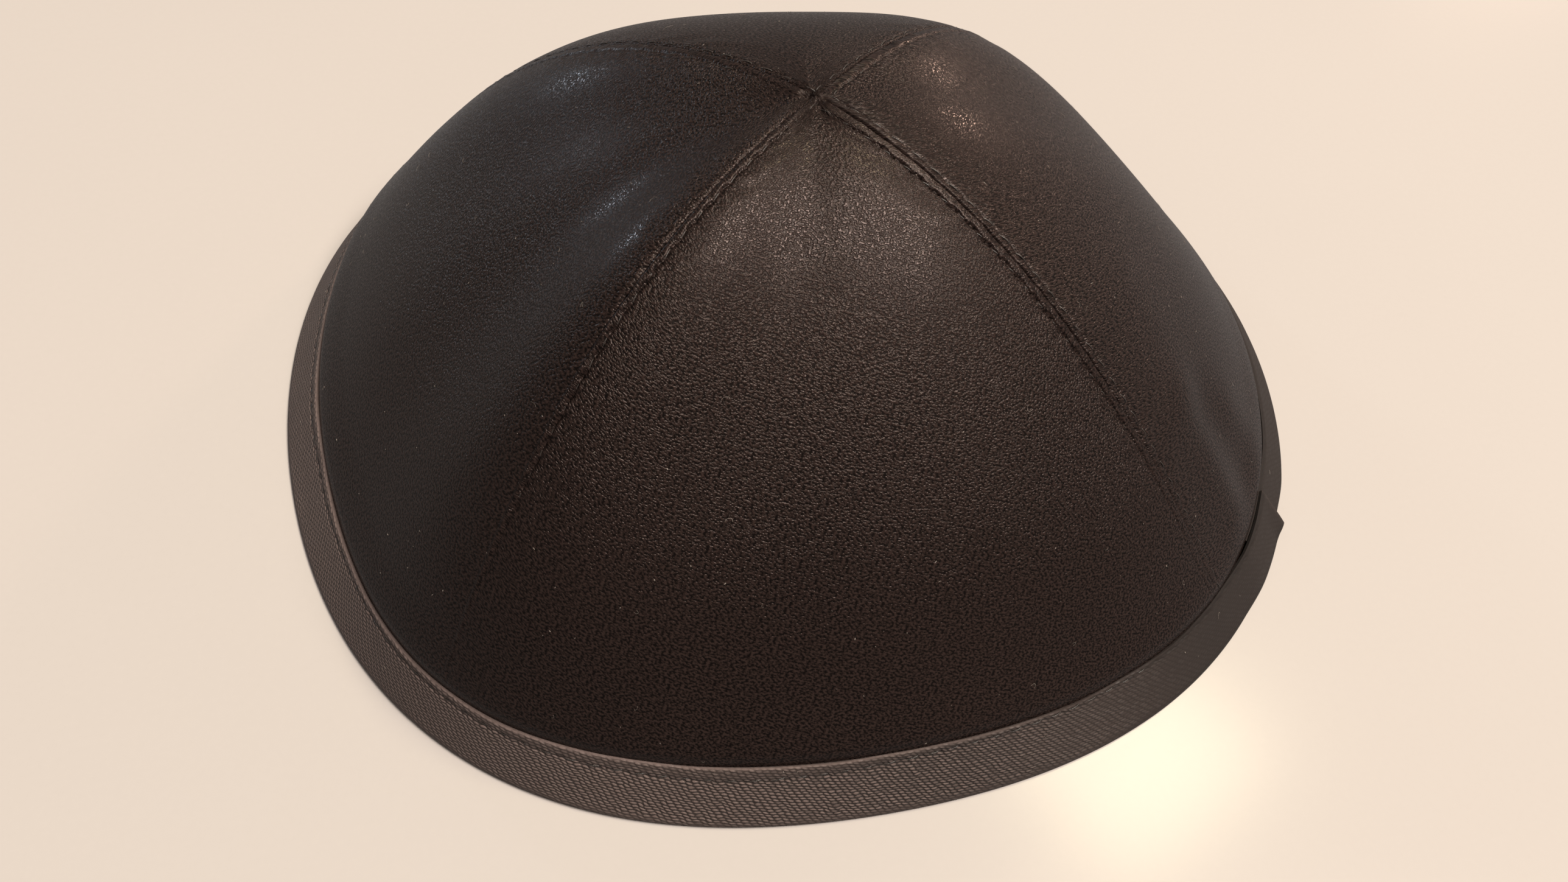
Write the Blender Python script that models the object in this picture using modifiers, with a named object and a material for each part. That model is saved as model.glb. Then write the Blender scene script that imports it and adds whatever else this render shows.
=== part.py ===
"""A four-panel satin skullcap: four crown panels and a ribbed tape folded round the rim.

The cap rests on its rim at z = 0. +X is the wearer's long side at the tape's lap, -Y is the front panel.
Every point of the cap comes from one crown surface, given by an azimuth in degrees, counted from +X
towards +Y, and by an arc length measured up that meridian from the rim.
"""
from collections import namedtuple
from functools import lru_cache

import bpy
import numpy as np

# Driving dimensions, in metres
RIM_RADIUS = 0.0854
CROWN_HEIGHT = 0.068
CLOTH_WALL = 0.0012
TAPE_WALL = 0.001
TAPE_OUTSIDE = 0.011
TAPE_INSIDE = 0.010
TAPE_OUTER_BEND = 0.0018
TAPE_INNER_BEND = 0.001
TAPE_LAP = 0.012
TAPE_LAP_RAMP = 0.010
TAPE_END_FLARE = 0.0008
CLOTH_RISE = 0.007
FIT_GAP = 0.0003
CROWN_TIP = 0.0015
PUCKER_HEIGHT = 0.0018
PUCKER_WIDTH = 0.0045

# The rim's plan, as waves round it: how many, how high as a share of the rim's radius, and where one crests
RimWave = namedtuple("RimWave", "count share crest_deg")
RIM_WAVES = (
    RimWave(count=1, share=0.058, crest_deg=15.0),
    RimWave(count=2, share=0.068, crest_deg=0.0),
    RimWave(count=3, share=0.022, crest_deg=12.0),
    RimWave(count=4, share=0.018, crest_deg=45.0),
)

# The seams, and the panel that follows each one going round; a low bow is a full, rounded profile
Seam = namedtuple("Seam", "azimuth_deg bow panel panel_bow columns")
SEAMS = (
    Seam(azimuth_deg=44.0, bow=0.93, panel="panel_back", panel_bow=0.95, columns=16),
    Seam(azimuth_deg=137.5, bow=0.93, panel="panel_left", panel_bow=1.11, columns=16),
    Seam(azimuth_deg=223.0, bow=0.75, panel="panel_front", panel_bow=1.08, columns=16),
    Seam(azimuth_deg=320.0, bow=1.11, panel="panel_right", panel_bow=1.10, columns=32),
)
SEAM_RISE = 1.97
PANEL_RISE = 2.12
SEAM_SHARPNESS = 3.8

# Puckers in the right panel: ends as azimuths and shares of the meridian's length, height and width as
# shares of the named pucker sizes
Pucker = namedtuple("Pucker", "low_deg low_share high_deg high_share height width")
PUCKERS = (
    Pucker(low_deg=328.5, low_share=0.10, high_deg=332.0, high_share=0.36, height=0.8, width=0.9),
    Pucker(low_deg=335.5, low_share=0.09, high_deg=335.0, high_share=0.30, height=-1.0, width=1.0),
    Pucker(low_deg=341.5, low_share=0.10, high_deg=339.5, high_share=0.22, height=0.5, width=1.0),
    Pucker(low_deg=330.0, low_share=0.37, high_deg=338.5, high_share=0.53, height=0.4, width=1.5),
)

TAPE_END_DEG = 336.5
TAPE_COLUMNS = 84
TAPE_LEG_ROWS = 4
ROWS_UNDER_TAPE = 2
ROWS_RISING = 3
ROWS_TO_TOP = 13
MERIDIAN_SAMPLES = 401
NORMAL_STEP_DEG = 1.5
NORMAL_STEP = 0.0004
# Near the rim the wall leans: its normal rises by less than this share, and the wall by more than that one
RIM_NORMAL_RISE = 0.65
RIM_WALL_RISE = 0.75

SATIN_COLOUR = (0.030, 0.024, 0.022, 1.0)
SATIN_ROUGHNESS = 0.45
TAPE_COLOUR = (0.070, 0.056, 0.052, 1.0)
TAPE_ROUGHNESS = 0.7


def rim_radius(azimuth):
    """Distance of the rim from the cap's axis at an azimuth."""
    waves = sum(w.share * np.cos(w.count * np.radians(azimuth - w.crest_deg)) for w in RIM_WAVES)
    return RIM_RADIUS * (1.0 + waves)


def meridian_shape(azimuth):
    """Bow and rise of the meridian at an azimuth, blended from the nearest seam to the panel's middle."""
    for seam, following in zip(SEAMS, SEAMS[1:] + SEAMS[:1]):
        span = (following.azimuth_deg - seam.azimuth_deg) % 360.0
        across = ((azimuth - seam.azimuth_deg) % 360.0) / span
        if across <= 1.0:
            break
    near = seam if across < 0.5 else following
    at_seam = abs(np.cos(np.pi * across)) ** SEAM_SHARPNESS
    bow = at_seam * near.bow + (1.0 - at_seam) * seam.panel_bow
    rise = at_seam * SEAM_RISE + (1.0 - at_seam) * PANEL_RISE
    return bow, rise


@lru_cache(maxsize=None)
def meridian(azimuth):
    """Arc lengths, radii and heights along one meridian, from the rim to the top."""
    bow, rise = meridian_shape(azimuth)
    turn = np.linspace(0.0, np.pi / 2.0, MERIDIAN_SAMPLES)
    radii = rim_radius(azimuth) * np.maximum(np.cos(turn), 0.0) ** bow
    heights = CROWN_HEIGHT * np.sin(turn) ** rise
    steps = np.hypot(np.diff(radii), np.diff(heights))
    arcs = np.concatenate(([0.0], np.cumsum(steps)))
    return arcs, radii, heights


def crown_point(azimuth, arc):
    """A point of the crown surface; below the rim the wall runs straight on."""
    arcs, radii, heights = meridian(azimuth)
    radius = np.interp(arc, arcs, radii)
    height = np.interp(arc, arcs, heights)
    if arc < 0.0:
        first = np.interp(NORMAL_STEP, arcs, radii) - radii[0], np.interp(NORMAL_STEP, arcs, heights)
        radius += first[0] * arc / NORMAL_STEP
        height += first[1] * arc / NORMAL_STEP
    turn = np.radians(azimuth)
    return np.array((radius * np.cos(turn), radius * np.sin(turn), height))


def crown_normal(azimuth, arc):
    """Outward normal of the crown; it is shared by both panels at a seam."""
    here = meridian(azimuth)[0][-1]
    before = meridian(azimuth - NORMAL_STEP_DEG)[0][-1]
    after = meridian(azimuth + NORMAL_STEP_DEG)[0][-1]
    share = max(arc, 0.0) / here
    across = (crown_point(azimuth + NORMAL_STEP_DEG, share * after)
              - crown_point(azimuth - NORMAL_STEP_DEG, share * before))
    along = crown_point(azimuth, arc + NORMAL_STEP) - crown_point(azimuth, arc - NORMAL_STEP)
    normal = np.cross(across, along)
    return normal / np.linalg.norm(normal)


def offset_point(azimuth, arc, offset):
    """A point at a distance outside the crown surface."""
    return crown_point(azimuth, arc) + offset * crown_normal(azimuth, arc)


def smooth_step(share):
    """0 below 0, 1 above 1, with a level start and end."""
    share = min(max(share, 0.0), 1.0)
    return share * share * (3.0 - 2.0 * share)


def pucker_height(azimuth, arc):
    """Height that the puckers give the cloth at a point."""
    whole = meridian(azimuth)[0][-1]
    share = arc / whole
    radius = np.interp(arc, *meridian(azimuth)[:2])
    height = 0.0
    for pucker in PUCKERS:
        along = (share - pucker.low_share) / (pucker.high_share - pucker.low_share)
        held = min(max(along, 0.0), 1.0)
        middle = pucker.low_deg + held * (pucker.high_deg - pucker.low_deg)
        aside = (azimuth - middle + 180.0) % 360.0 - 180.0
        distance = radius * np.radians(aside) / (PUCKER_WIDTH * pucker.width)
        beyond = (along - held) * (pucker.high_share - pucker.low_share) * whole / PUCKER_WIDTH
        height += PUCKER_HEIGHT * pucker.height * np.exp(-distance ** 2 - beyond ** 2)
    return height


def cloth_offset(azimuth, arc):
    """How far the panels' outer face lies from the crown surface: sunk under the tape, puckered above it."""
    clear_of_tape = smooth_step((arc - TAPE_OUTSIDE) / CLOTH_RISE)
    sunk = -(TAPE_WALL + FIT_GAP) * (1.0 - clear_of_tape)
    return sunk + pucker_height(azimuth, arc) * clear_of_tape


def cloth_edge():
    """Arc length of the panels' lower edge, clear of both layers of tape in its fold."""
    layers = 2.0 * (TAPE_WALL + FIT_GAP)
    leaning = RIM_NORMAL_RISE * (TAPE_WALL + FIT_GAP + CLOTH_WALL)
    return (layers + leaning) / RIM_WALL_RISE


def panel_rows(azimuth):
    """Arc lengths of a panel's rows at one azimuth, closer together where the cloth climbs over the tape."""
    whole = meridian(azimuth)[0][-1]
    climbed = TAPE_OUTSIDE + CLOTH_RISE
    under = np.linspace(cloth_edge(), TAPE_OUTSIDE, ROWS_UNDER_TAPE + 1)
    rising = np.linspace(TAPE_OUTSIDE, climbed, ROWS_RISING + 1)[1:]
    crown = np.linspace(climbed, whole - CROWN_TIP, ROWS_TO_TOP + 1)[1:]
    return np.concatenate((under, rising, crown))


def panel_grid(seam, following, depth):
    """Points of one face of a panel, as rows from the rim to the top."""
    span = (following.azimuth_deg - seam.azimuth_deg) % 360.0
    grid = []
    for column in range(seam.columns + 1):
        across = column / seam.columns
        azimuth = seam.azimuth_deg + across * span
        side = 1.0 if column == 0 else -1.0 if column == seam.columns else 0.0
        points = []
        for row, straight in enumerate(panel_rows(azimuth)):
            radius = np.interp(straight, *meridian(azimuth)[:2])
            turn = azimuth + side * np.degrees(np.arcsin(0.5 * FIT_GAP / radius))
            arc = panel_rows(turn)[row]
            points.append(offset_point(turn, arc, cloth_offset(turn, arc) - depth))
        grid.append(points)
    return [list(row) for row in zip(*grid)]


def grid_faces(rows, columns, first, flipped):
    """Quads of a grid of points whose numbers start at first."""
    faces = []
    for row in range(rows - 1):
        for column in range(columns - 1):
            corner = first + row * columns + column
            quad = (corner, corner + 1, corner + columns + 1, corner + columns)
            faces.append(quad[::-1] if flipped else quad)
    return faces


def border(rows, columns):
    """Numbers of a grid's border points, once round."""
    bottom = list(range(columns))
    right = [row * columns + columns - 1 for row in range(1, rows)]
    top = [(rows - 1) * columns + column for column in range(columns - 2, -1, -1)]
    left = [row * columns for row in range(rows - 2, 0, -1)]
    return bottom + right + top + left


def add_object(name, points, faces, material, collection):
    """One named object from points and faces, shaded smooth."""
    mesh = bpy.data.meshes.new(name)
    mesh.from_pydata([tuple(point) for point in points], [], faces)
    mesh.materials.append(material)
    mesh.shade_smooth()
    piece = bpy.data.objects.new(name, mesh)
    collection.objects.link(piece)
    return piece


def make_panel(seam, following, material, collection):
    """A crown panel: its outer and inner faces, joined all round by the wall's edge."""
    outer = panel_grid(seam, following, 0.0)
    inner = panel_grid(seam, following, CLOTH_WALL)
    rows, columns = len(outer), len(outer[0])
    count = rows * columns
    points = [point for row in outer + inner for point in row]
    faces = grid_faces(rows, columns, 0, False) + grid_faces(rows, columns, count, True)
    ring = border(rows, columns)
    for here, after in zip(ring, ring[1:] + ring[:1]):
        faces.append((after, here, here + count, after + count))
    return add_object(seam.panel, points, faces, material, collection)


def tape_section(azimuth, lift, base, flare):
    """The tape's outer face across its width: down the outside, under the rim and up the inside."""
    outside = lift
    inside = -(2.0 * (TAPE_WALL + FIT_GAP) + CLOTH_WALL + lift)
    normal = crown_normal(azimuth, 0.0)
    slope = crown_point(azimuth, NORMAL_STEP) - crown_point(azimuth, 0.0)
    slope /= np.linalg.norm(slope)
    inward = -normal * (1.0, 1.0, 0.0)
    inward /= np.linalg.norm(inward)
    outer_foot = (base - outside * normal[2]) / slope[2]
    inner_foot = (base - inside * normal[2]) / slope[2]
    points = []
    for arc in np.linspace(TAPE_OUTSIDE, outer_foot + TAPE_OUTER_BEND, TAPE_LEG_ROWS + 1):
        opened = flare * (1.0 - max(arc, 0.0) / TAPE_OUTSIDE)
        points.append(offset_point(azimuth, arc, outside + opened))
    for foot, offset, shift in ((outer_foot, outside, TAPE_OUTER_BEND), (inner_foot, inside, -TAPE_INNER_BEND)):
        corner = offset_point(azimuth, foot, offset) + inward * shift
        corner[2] = base
        points.append(corner)
    for arc in np.linspace(inner_foot + TAPE_INNER_BEND, TAPE_INSIDE, TAPE_LEG_ROWS):
        points.append(offset_point(azimuth, arc, inside))
    return points


def make_binding(material, collection):
    """The tape: one strip folded round the rim, its end lapped over its start."""
    lap = np.degrees(TAPE_LAP / rim_radius(TAPE_END_DEG))
    ramp = np.degrees(TAPE_LAP_RAMP / rim_radius(TAPE_END_DEG))
    layer = TAPE_WALL + FIT_GAP
    start, end = TAPE_END_DEG - lap, TAPE_END_DEG + 360.0
    sections = []
    for azimuth in np.linspace(start, end, TAPE_COLUMNS + 1):
        lift = layer * smooth_step((azimuth - (end - lap - ramp)) / ramp)
        base = layer * (1.0 - smooth_step((azimuth - TAPE_END_DEG) / ramp))
        flare = TAPE_END_FLARE * smooth_step(1.0 - (end - azimuth) / (0.5 * lap))
        sections.append(tape_section(azimuth, lift, base, flare))
    rows, columns = len(sections), len(sections[0])
    points = [point for section in sections for point in section]
    tape = add_object("rim_binding", points, grid_faces(rows, columns, 0, False), material, collection)
    wall = tape.modifiers.new("wall", "SOLIDIFY")
    wall.thickness = TAPE_WALL
    wall.offset = -1.0
    wall.use_even_offset = True
    wall.use_quality_normals = True
    return tape


def make_material(name, colour, roughness):
    """A plain cloth material."""
    material = bpy.data.materials.new(name)
    material.use_nodes = True
    shader = material.node_tree.nodes["Principled BSDF"]
    shader.inputs["Base Color"].default_value = colour
    shader.inputs["Roughness"].default_value = roughness
    shader.inputs["Metallic"].default_value = 0.0
    material.diffuse_color = colour
    return material


def stand_on_origin(pieces, collection):
    """Carries the pieces by an empty that brings the bottom centre of their box to the origin."""
    bpy.context.view_layer.update()
    depsgraph = bpy.context.evaluated_depsgraph_get()
    corners = []
    for piece in pieces:
        shape = piece.evaluated_get(depsgraph).data
        corners += [tuple(vertex.co) for vertex in shape.vertices]
    corners = np.array(corners)
    low, high = corners.min(axis=0), corners.max(axis=0)
    stand = bpy.data.objects.new("cap_stand", None)
    stand.location = (-0.5 * (low[0] + high[0]), -0.5 * (low[1] + high[1]), -low[2])
    collection.objects.link(stand)
    for piece in pieces:
        piece.parent = stand


def main():
    """Clears the scene and makes the cap."""
    for leftover in list(bpy.data.objects):
        bpy.data.objects.remove(leftover)
    collection = bpy.data.collections.new("kippah_skullcap")
    bpy.context.scene.collection.children.link(collection)
    pieces = []
    for seam, following in zip(SEAMS, SEAMS[1:] + SEAMS[:1]):
        satin = make_material("satin_" + seam.panel, SATIN_COLOUR, SATIN_ROUGHNESS)
        pieces.append(make_panel(seam, following, satin, collection))
    ribbed = make_material("ribbed_tape", TAPE_COLOUR, TAPE_ROUGHNESS)
    pieces.append(make_binding(ribbed, collection))
    stand_on_origin(pieces, collection)


main()
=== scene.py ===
"""Dresses a packed satin skullcap for rendering.

The cap has four satin panels, a ribbed tape folded round the rim, topstitching beside each seam, a stitch
row in the tape, and a little lint. Points of the cap are given by an azimuth in degrees, counted from +X
towards +Y, and by an arc length measured up that meridian from the rim.
"""

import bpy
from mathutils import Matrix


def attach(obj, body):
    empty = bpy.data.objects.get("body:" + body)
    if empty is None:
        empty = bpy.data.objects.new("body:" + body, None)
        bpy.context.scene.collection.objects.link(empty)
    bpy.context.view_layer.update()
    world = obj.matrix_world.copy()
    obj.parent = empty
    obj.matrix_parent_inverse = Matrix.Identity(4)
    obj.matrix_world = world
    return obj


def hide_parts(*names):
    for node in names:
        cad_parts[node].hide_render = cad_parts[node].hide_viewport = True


bl_info = {
    "name": "Satin Skullcap",
    "version": (1, 0, 0),
    "blender": (4, 5, 0),
    "location": "View3D > Sidebar > Skullcap",
    "description": "Makes the fine cloth, tape, stitches and lint of a four-panel satin skullcap",
    "category": "Add Mesh",
}

import math
from collections import namedtuple
from functools import lru_cache

import bpy
import numpy as np
from bpy.props import FloatProperty, FloatVectorProperty, IntProperty, PointerProperty
from mathutils import Matrix, Vector

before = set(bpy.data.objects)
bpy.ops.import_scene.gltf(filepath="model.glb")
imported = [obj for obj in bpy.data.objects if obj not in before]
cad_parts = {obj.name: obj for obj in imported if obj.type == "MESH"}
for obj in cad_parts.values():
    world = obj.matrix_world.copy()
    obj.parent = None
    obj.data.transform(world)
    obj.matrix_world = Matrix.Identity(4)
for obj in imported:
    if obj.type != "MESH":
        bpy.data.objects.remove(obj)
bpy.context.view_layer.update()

MM = 0.001

# The crown's form, as the solids have it
AXIS = (-0.006206, -0.0002144)
RIM_RADIUS = 0.0854
CROWN_HEIGHT = 0.068
TAPE_OUTSIDE = 0.011
TAPE_INSIDE = 0.010
TAPE_LAP = 0.012
TAPE_LAP_RAMP = 0.010
TAPE_END_DEG = 336.5
TAPE_LIFT = 0.00035
TAPE_FLARE = 0.0007
PUCKER_HEIGHT = 0.0007
PUCKER_WIDTH = 0.0056
SEAM_RISE = 1.97
PANEL_RISE = 2.12
SEAM_SHARPNESS = 3.8

RimWave = namedtuple("RimWave", "count share crest_deg")
RIM_WAVES = (
    RimWave(count=1, share=0.058, crest_deg=15.0),
    RimWave(count=2, share=0.068, crest_deg=0.0),
    RimWave(count=3, share=0.022, crest_deg=12.0),
    RimWave(count=4, share=0.018, crest_deg=45.0),
)

# The seams and the panel that follows each one; area is the panel's cut in square metres
Seam = namedtuple("Seam", "azimuth_deg bow panel panel_bow columns area")
SEAMS = (
    Seam(44.0, 0.93, "panel_back", 0.95, 48, 0.0079),
    Seam(137.5, 0.93, "panel_left", 1.11, 48, 0.0074),
    Seam(223.0, 0.75, "panel_front", 1.08, 52, 0.0079),
    Seam(320.0, 1.11, "panel_right", 1.10, 64, 0.0084),
)
MAIN_SEAMS = (0, 2)

Pucker = namedtuple("Pucker", "low_deg low_share high_deg high_share height width")
PUCKERS = (
    Pucker(low_deg=328.5, low_share=0.10, high_deg=332.0, high_share=0.36, height=0.8, width=0.9),
    Pucker(low_deg=335.5, low_share=0.09, high_deg=335.0, high_share=0.30, height=-1.0, width=1.0),
    Pucker(low_deg=341.5, low_share=0.10, high_deg=339.5, high_share=0.22, height=0.5, width=1.0),
    Pucker(low_deg=330.0, low_share=0.37, high_deg=338.5, high_share=0.53, height=0.4, width=1.5),
)

# How far the tape's stitch row runs below the tape's top edge, by azimuth, in millimetres
StitchInset = namedtuple("StitchInset", "azimuth_deg inset")
STITCH_INSETS = (
    StitchInset(0.0, 1.0),
    StitchInset(60.0, 1.5),
    StitchInset(150.0, 1.8),
    StitchInset(190.0, 1.7),
    StitchInset(215.0, 1.1),
    StitchInset(236.0, 1.9),
    StitchInset(258.0, 2.4),
    StitchInset(277.0, 1.3),
    StitchInset(292.0, 0.6),
    StitchInset(335.0, 0.7),
    StitchInset(360.0, 1.0),
)

# Each side of a seam: its row's distance near the top and near the rim, its band's height and its row's depth,
# as shares of the named sizes, and how deep its thread lies in the cloth in millimetres
SeamSide = namedtuple("SeamSide", "aside_top aside_rim band row sunk")
SEAM_SIDES = {
    (0, 1): SeamSide(0.42, 0.42, 0.0, 0.6, 0.02),
    (0, -1): SeamSide(0.95, 0.95, 1.0, 0.5, 0.16),
    (1, 1): SeamSide(0.95, 0.95, 1.0, 0.5, 0.16),
    (1, -1): SeamSide(0.42, 0.42, 0.0, 0.6, 0.02),
    (2, 1): SeamSide(0.64, 0.50, 0.8, 1.2, 0.22),
    (2, -1): SeamSide(1.05, 1.10, 0.0, 0.0, 0.0),
    (3, 1): SeamSide(0.70, 0.75, 0.3, 0.8, 0.05),
    (3, -1): SeamSide(0.95, 0.85, 1.0, 1.5, 0.24),
}
TOP_HOLE = (-0.95 * MM, 0.15 * MM)
RIDGE_END = 62.0 * MM
BAND_START = 82.0 * MM
ROW_START = 13.0 * MM

# Sampling of the crown's tables and of the fine meshes
SHARP_ANGLE = math.radians(55.0)
TABLE_STEP_DEG = 0.5
TABLE_SHARES = 401
NORMAL_STEP_DEG = 1.5
NORMAL_STEP = 0.0004
FINE_COLUMNS = 22
FINE_STEP = 0.125 * MM
INNER_EVERY = 6
NARROW_PANEL = 7.2 * MM
COLUMN_SPREAD = 1.5
PANEL_START = 4.0 * MM
PANEL_LOW_END = 22.0 * MM
PANEL_LOW_ROWS = 60
PANEL_HIGH_ROWS = 390
TAPE_COLUMNS = 1440
TAPE_EDGE_ROWS = 18
TAPE_EDGE_END = 2.9 * MM
TAPE_OUTER_ROWS = 16
TAPE_FOLD_ROWS = 4
TAPE_INNER_ROWS = 5


class SkullcapCloth(bpy.types.PropertyGroup):
    """Sizes and colours of the cap's cloth, tape and thread."""

    satin_colour: FloatVectorProperty(
        name="Satin Colour", description="Colour of the satin without its sheen", subtype="COLOR", size=3,
        default=(0.0096, 0.0060, 0.0052), min=0.0, max=1.0)
    satin_roughness: FloatProperty(
        name="Satin Roughness", description="Roughness of the satin's sheen", default=0.27, min=0.0, max=1.0)
    grain_length: FloatProperty(
        name="Grain Length", description="Length of one fleck of the crepe grain", subtype="DISTANCE",
        unit="LENGTH", default=0.46 * MM, min=0.1 * MM, max=5.0 * MM)
    grain_depth: FloatProperty(
        name="Grain Depth", description="Depth of the crepe grain", subtype="DISTANCE", unit="LENGTH",
        default=0.072 * MM, min=0.0, max=1.0 * MM)
    cloth_wall: FloatProperty(
        name="Cloth Wall", description="Thickness of the satin with its backing", subtype="DISTANCE",
        unit="LENGTH", default=0.9 * MM, min=0.2 * MM, max=2.0 * MM)
    seam_groove: FloatProperty(
        name="Seam Groove", description="Depth of the groove along a seam", subtype="DISTANCE",
        unit="LENGTH", default=0.26 * MM, min=0.0, max=2.0 * MM)
    seam_band: FloatProperty(
        name="Seam Band", description="Height of the padded band beside a seam", subtype="DISTANCE",
        unit="LENGTH", default=0.11 * MM, min=0.0, max=2.0 * MM)
    stitch_aside: FloatProperty(
        name="Stitch Distance", description="Distance of a stitch row from its seam", subtype="DISTANCE",
        unit="LENGTH", default=1.6 * MM, min=0.5 * MM, max=6.0 * MM)
    stitch_pitch: FloatProperty(
        name="Stitch Pitch", description="Distance from one stitch to the next", subtype="DISTANCE",
        unit="LENGTH", default=3.3 * MM, min=1.0 * MM, max=8.0 * MM)
    stitch_length: FloatProperty(
        name="Stitch Length", description="Length of thread that shows in one stitch", subtype="DISTANCE",
        unit="LENGTH", default=2.5 * MM, min=0.5 * MM, max=8.0 * MM)
    thread_radius: FloatProperty(
        name="Thread Radius", description="Radius of the sewing thread", subtype="DISTANCE",
        unit="LENGTH", default=0.085 * MM, min=0.02 * MM, max=1.0 * MM)
    thread_colour: FloatVectorProperty(
        name="Thread Colour", description="Colour of the sewing thread", subtype="COLOR", size=3,
        default=(0.020, 0.016, 0.014), min=0.0, max=1.0)
    tape_colour: FloatVectorProperty(
        name="Tape Colour", description="Colour of the tape's ribs", subtype="COLOR", size=3,
        default=(0.056, 0.041, 0.037), min=0.0, max=1.0)
    tape_wall: FloatProperty(
        name="Tape Wall", description="Thickness of the tape", subtype="DISTANCE", unit="LENGTH",
        default=0.5 * MM, min=0.2 * MM, max=2.0 * MM)
    rib_length: FloatProperty(
        name="Rib Length", description="Pitch of the tape's weave along its length", subtype="DISTANCE",
        unit="LENGTH", default=1.22 * MM, min=0.2 * MM, max=5.0 * MM)
    rib_width: FloatProperty(
        name="Rib Width", description="Pitch of the tape's weave across its width", subtype="DISTANCE",
        unit="LENGTH", default=0.47 * MM, min=0.2 * MM, max=5.0 * MM)
    lint_count: IntProperty(
        name="Lint Density", description="Specks of lint for each square metre of cloth",
        default=7500, min=0, max=50000)
    fibre_count: IntProperty(
        name="Fibre Density", description="Curled fibres for each square metre of cloth",
        default=2600, min=0, max=50000)
    lint_colour: FloatVectorProperty(
        name="Lint Colour", description="Colour of the lint", subtype="COLOR", size=3,
        default=(0.20, 0.17, 0.15), min=0.0, max=1.0)


class SkullcapStage(bpy.types.PropertyGroup):
    """Colours and powers of the floor and the lamps."""

    floor_colour: FloatVectorProperty(
        name="Floor Colour", description="Colour of the floor", subtype="COLOR", size=3,
        default=(0.370, 0.338, 0.319), min=0.0, max=1.0)
    room_colour: FloatVectorProperty(
        name="Room Colour", description="Colour of the room's own light", subtype="COLOR", size=3,
        default=(1.0, 0.90, 0.84), min=0.0, max=1.0)
    room_strength: FloatProperty(
        name="Room Light", description="Strength of the room's own light", default=0.32, min=0.0, max=10.0)
    ceiling_power: FloatProperty(
        name="Ceiling Lamp", description="Power of the large lamp overhead", default=328.0, min=0.0, max=1000.0)
    window_power: FloatProperty(
        name="Window", description="Power of the cool light from the left", default=20.0, min=0.0, max=500.0)
    side_power: FloatProperty(
        name="Side Lamp", description="Power of the warm lamp at the back right", default=26.0,
        min=0.0, max=500.0)
    spot_power: FloatProperty(
        name="Desk Lamp", description="Power of the small lamp whose glow shows on the floor", default=42.0,
        min=0.0, max=500.0)


# Curves and noise along a line
def smooth_step(share):
    """0 below 0, 1 above 1, with a level start and end."""
    share = np.clip(share, 0.0, 1.0)
    return share * share * (3.0 - 2.0 * share)


def bell(distance, width):
    """1 at no distance, fading over the width to either side."""
    return np.exp(-(distance / width) ** 2)


def ripple(position, pitch, seed):
    """Smooth random heights from -1 to 1 along a line, about a pitch apart."""
    heights = np.random.RandomState(seed).uniform(-1.0, 1.0, 512)
    place = np.asarray(position) / pitch
    step = np.floor(place).astype(int)
    share = smooth_step(place - step)
    return heights[step % 512] * (1.0 - share) + heights[(step + 1) % 512] * share


# The crown's surface
def rim_radius(azimuth):
    """Distance of the rim from the cap's axis at each azimuth."""
    waves = sum(w.share * np.cos(w.count * np.radians(azimuth - w.crest_deg)) for w in RIM_WAVES)
    return RIM_RADIUS * (1.0 + waves)


def meridian_shape(azimuth):
    """Bow and rise of the meridian at each azimuth, blended from the nearest seam to the panel's middle."""
    bow = np.zeros_like(azimuth)
    rise = np.zeros_like(azimuth)
    for seam, following in zip(SEAMS, SEAMS[1:] + SEAMS[:1]):
        span = (following.azimuth_deg - seam.azimuth_deg) % 360.0
        across = ((azimuth - seam.azimuth_deg) % 360.0) / span
        here = across <= 1.0
        near_bow = np.where(across < 0.5, seam.bow, following.bow)
        at_seam = np.abs(np.cos(np.pi * across)) ** SEAM_SHARPNESS
        bow = np.where(here, at_seam * near_bow + (1.0 - at_seam) * seam.panel_bow, bow)
        rise = np.where(here, at_seam * SEAM_RISE + (1.0 - at_seam) * PANEL_RISE, rise)
    return bow, rise


@lru_cache(maxsize=None)
def crown_tables():
    """Radius and height by azimuth and share of the arc, and each meridian's whole arc."""
    azimuths = np.arange(0.0, 360.0, TABLE_STEP_DEG)
    bow, rise = meridian_shape(azimuths)
    turn = np.linspace(0.0, np.pi / 2.0, TABLE_SHARES)
    radii = rim_radius(azimuths)[:, None] * np.maximum(np.cos(turn), 0.0)[None, :] ** bow[:, None]
    heights = CROWN_HEIGHT * np.sin(turn)[None, :] ** rise[:, None]
    steps = np.hypot(np.diff(radii, axis=1), np.diff(heights, axis=1))
    arcs = np.concatenate((np.zeros((len(azimuths), 1)), np.cumsum(steps, axis=1)), axis=1)
    shares = np.linspace(0.0, 1.0, TABLE_SHARES)
    even_radii = [np.interp(shares * arc[-1], arc, row) for arc, row in zip(arcs, radii)]
    even_heights = [np.interp(shares * arc[-1], arc, row) for arc, row in zip(arcs, heights)]
    return np.array(even_radii), np.array(even_heights), arcs[:, -1]


def whole_arc(azimuth):
    """The meridian's length from the rim to the top."""
    wholes = crown_tables()[2]
    place = np.mod(azimuth, 360.0) / TABLE_STEP_DEG
    step = np.floor(place).astype(int)
    share = place - step
    return wholes[step % len(wholes)] * (1.0 - share) + wholes[(step + 1) % len(wholes)] * share


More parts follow.
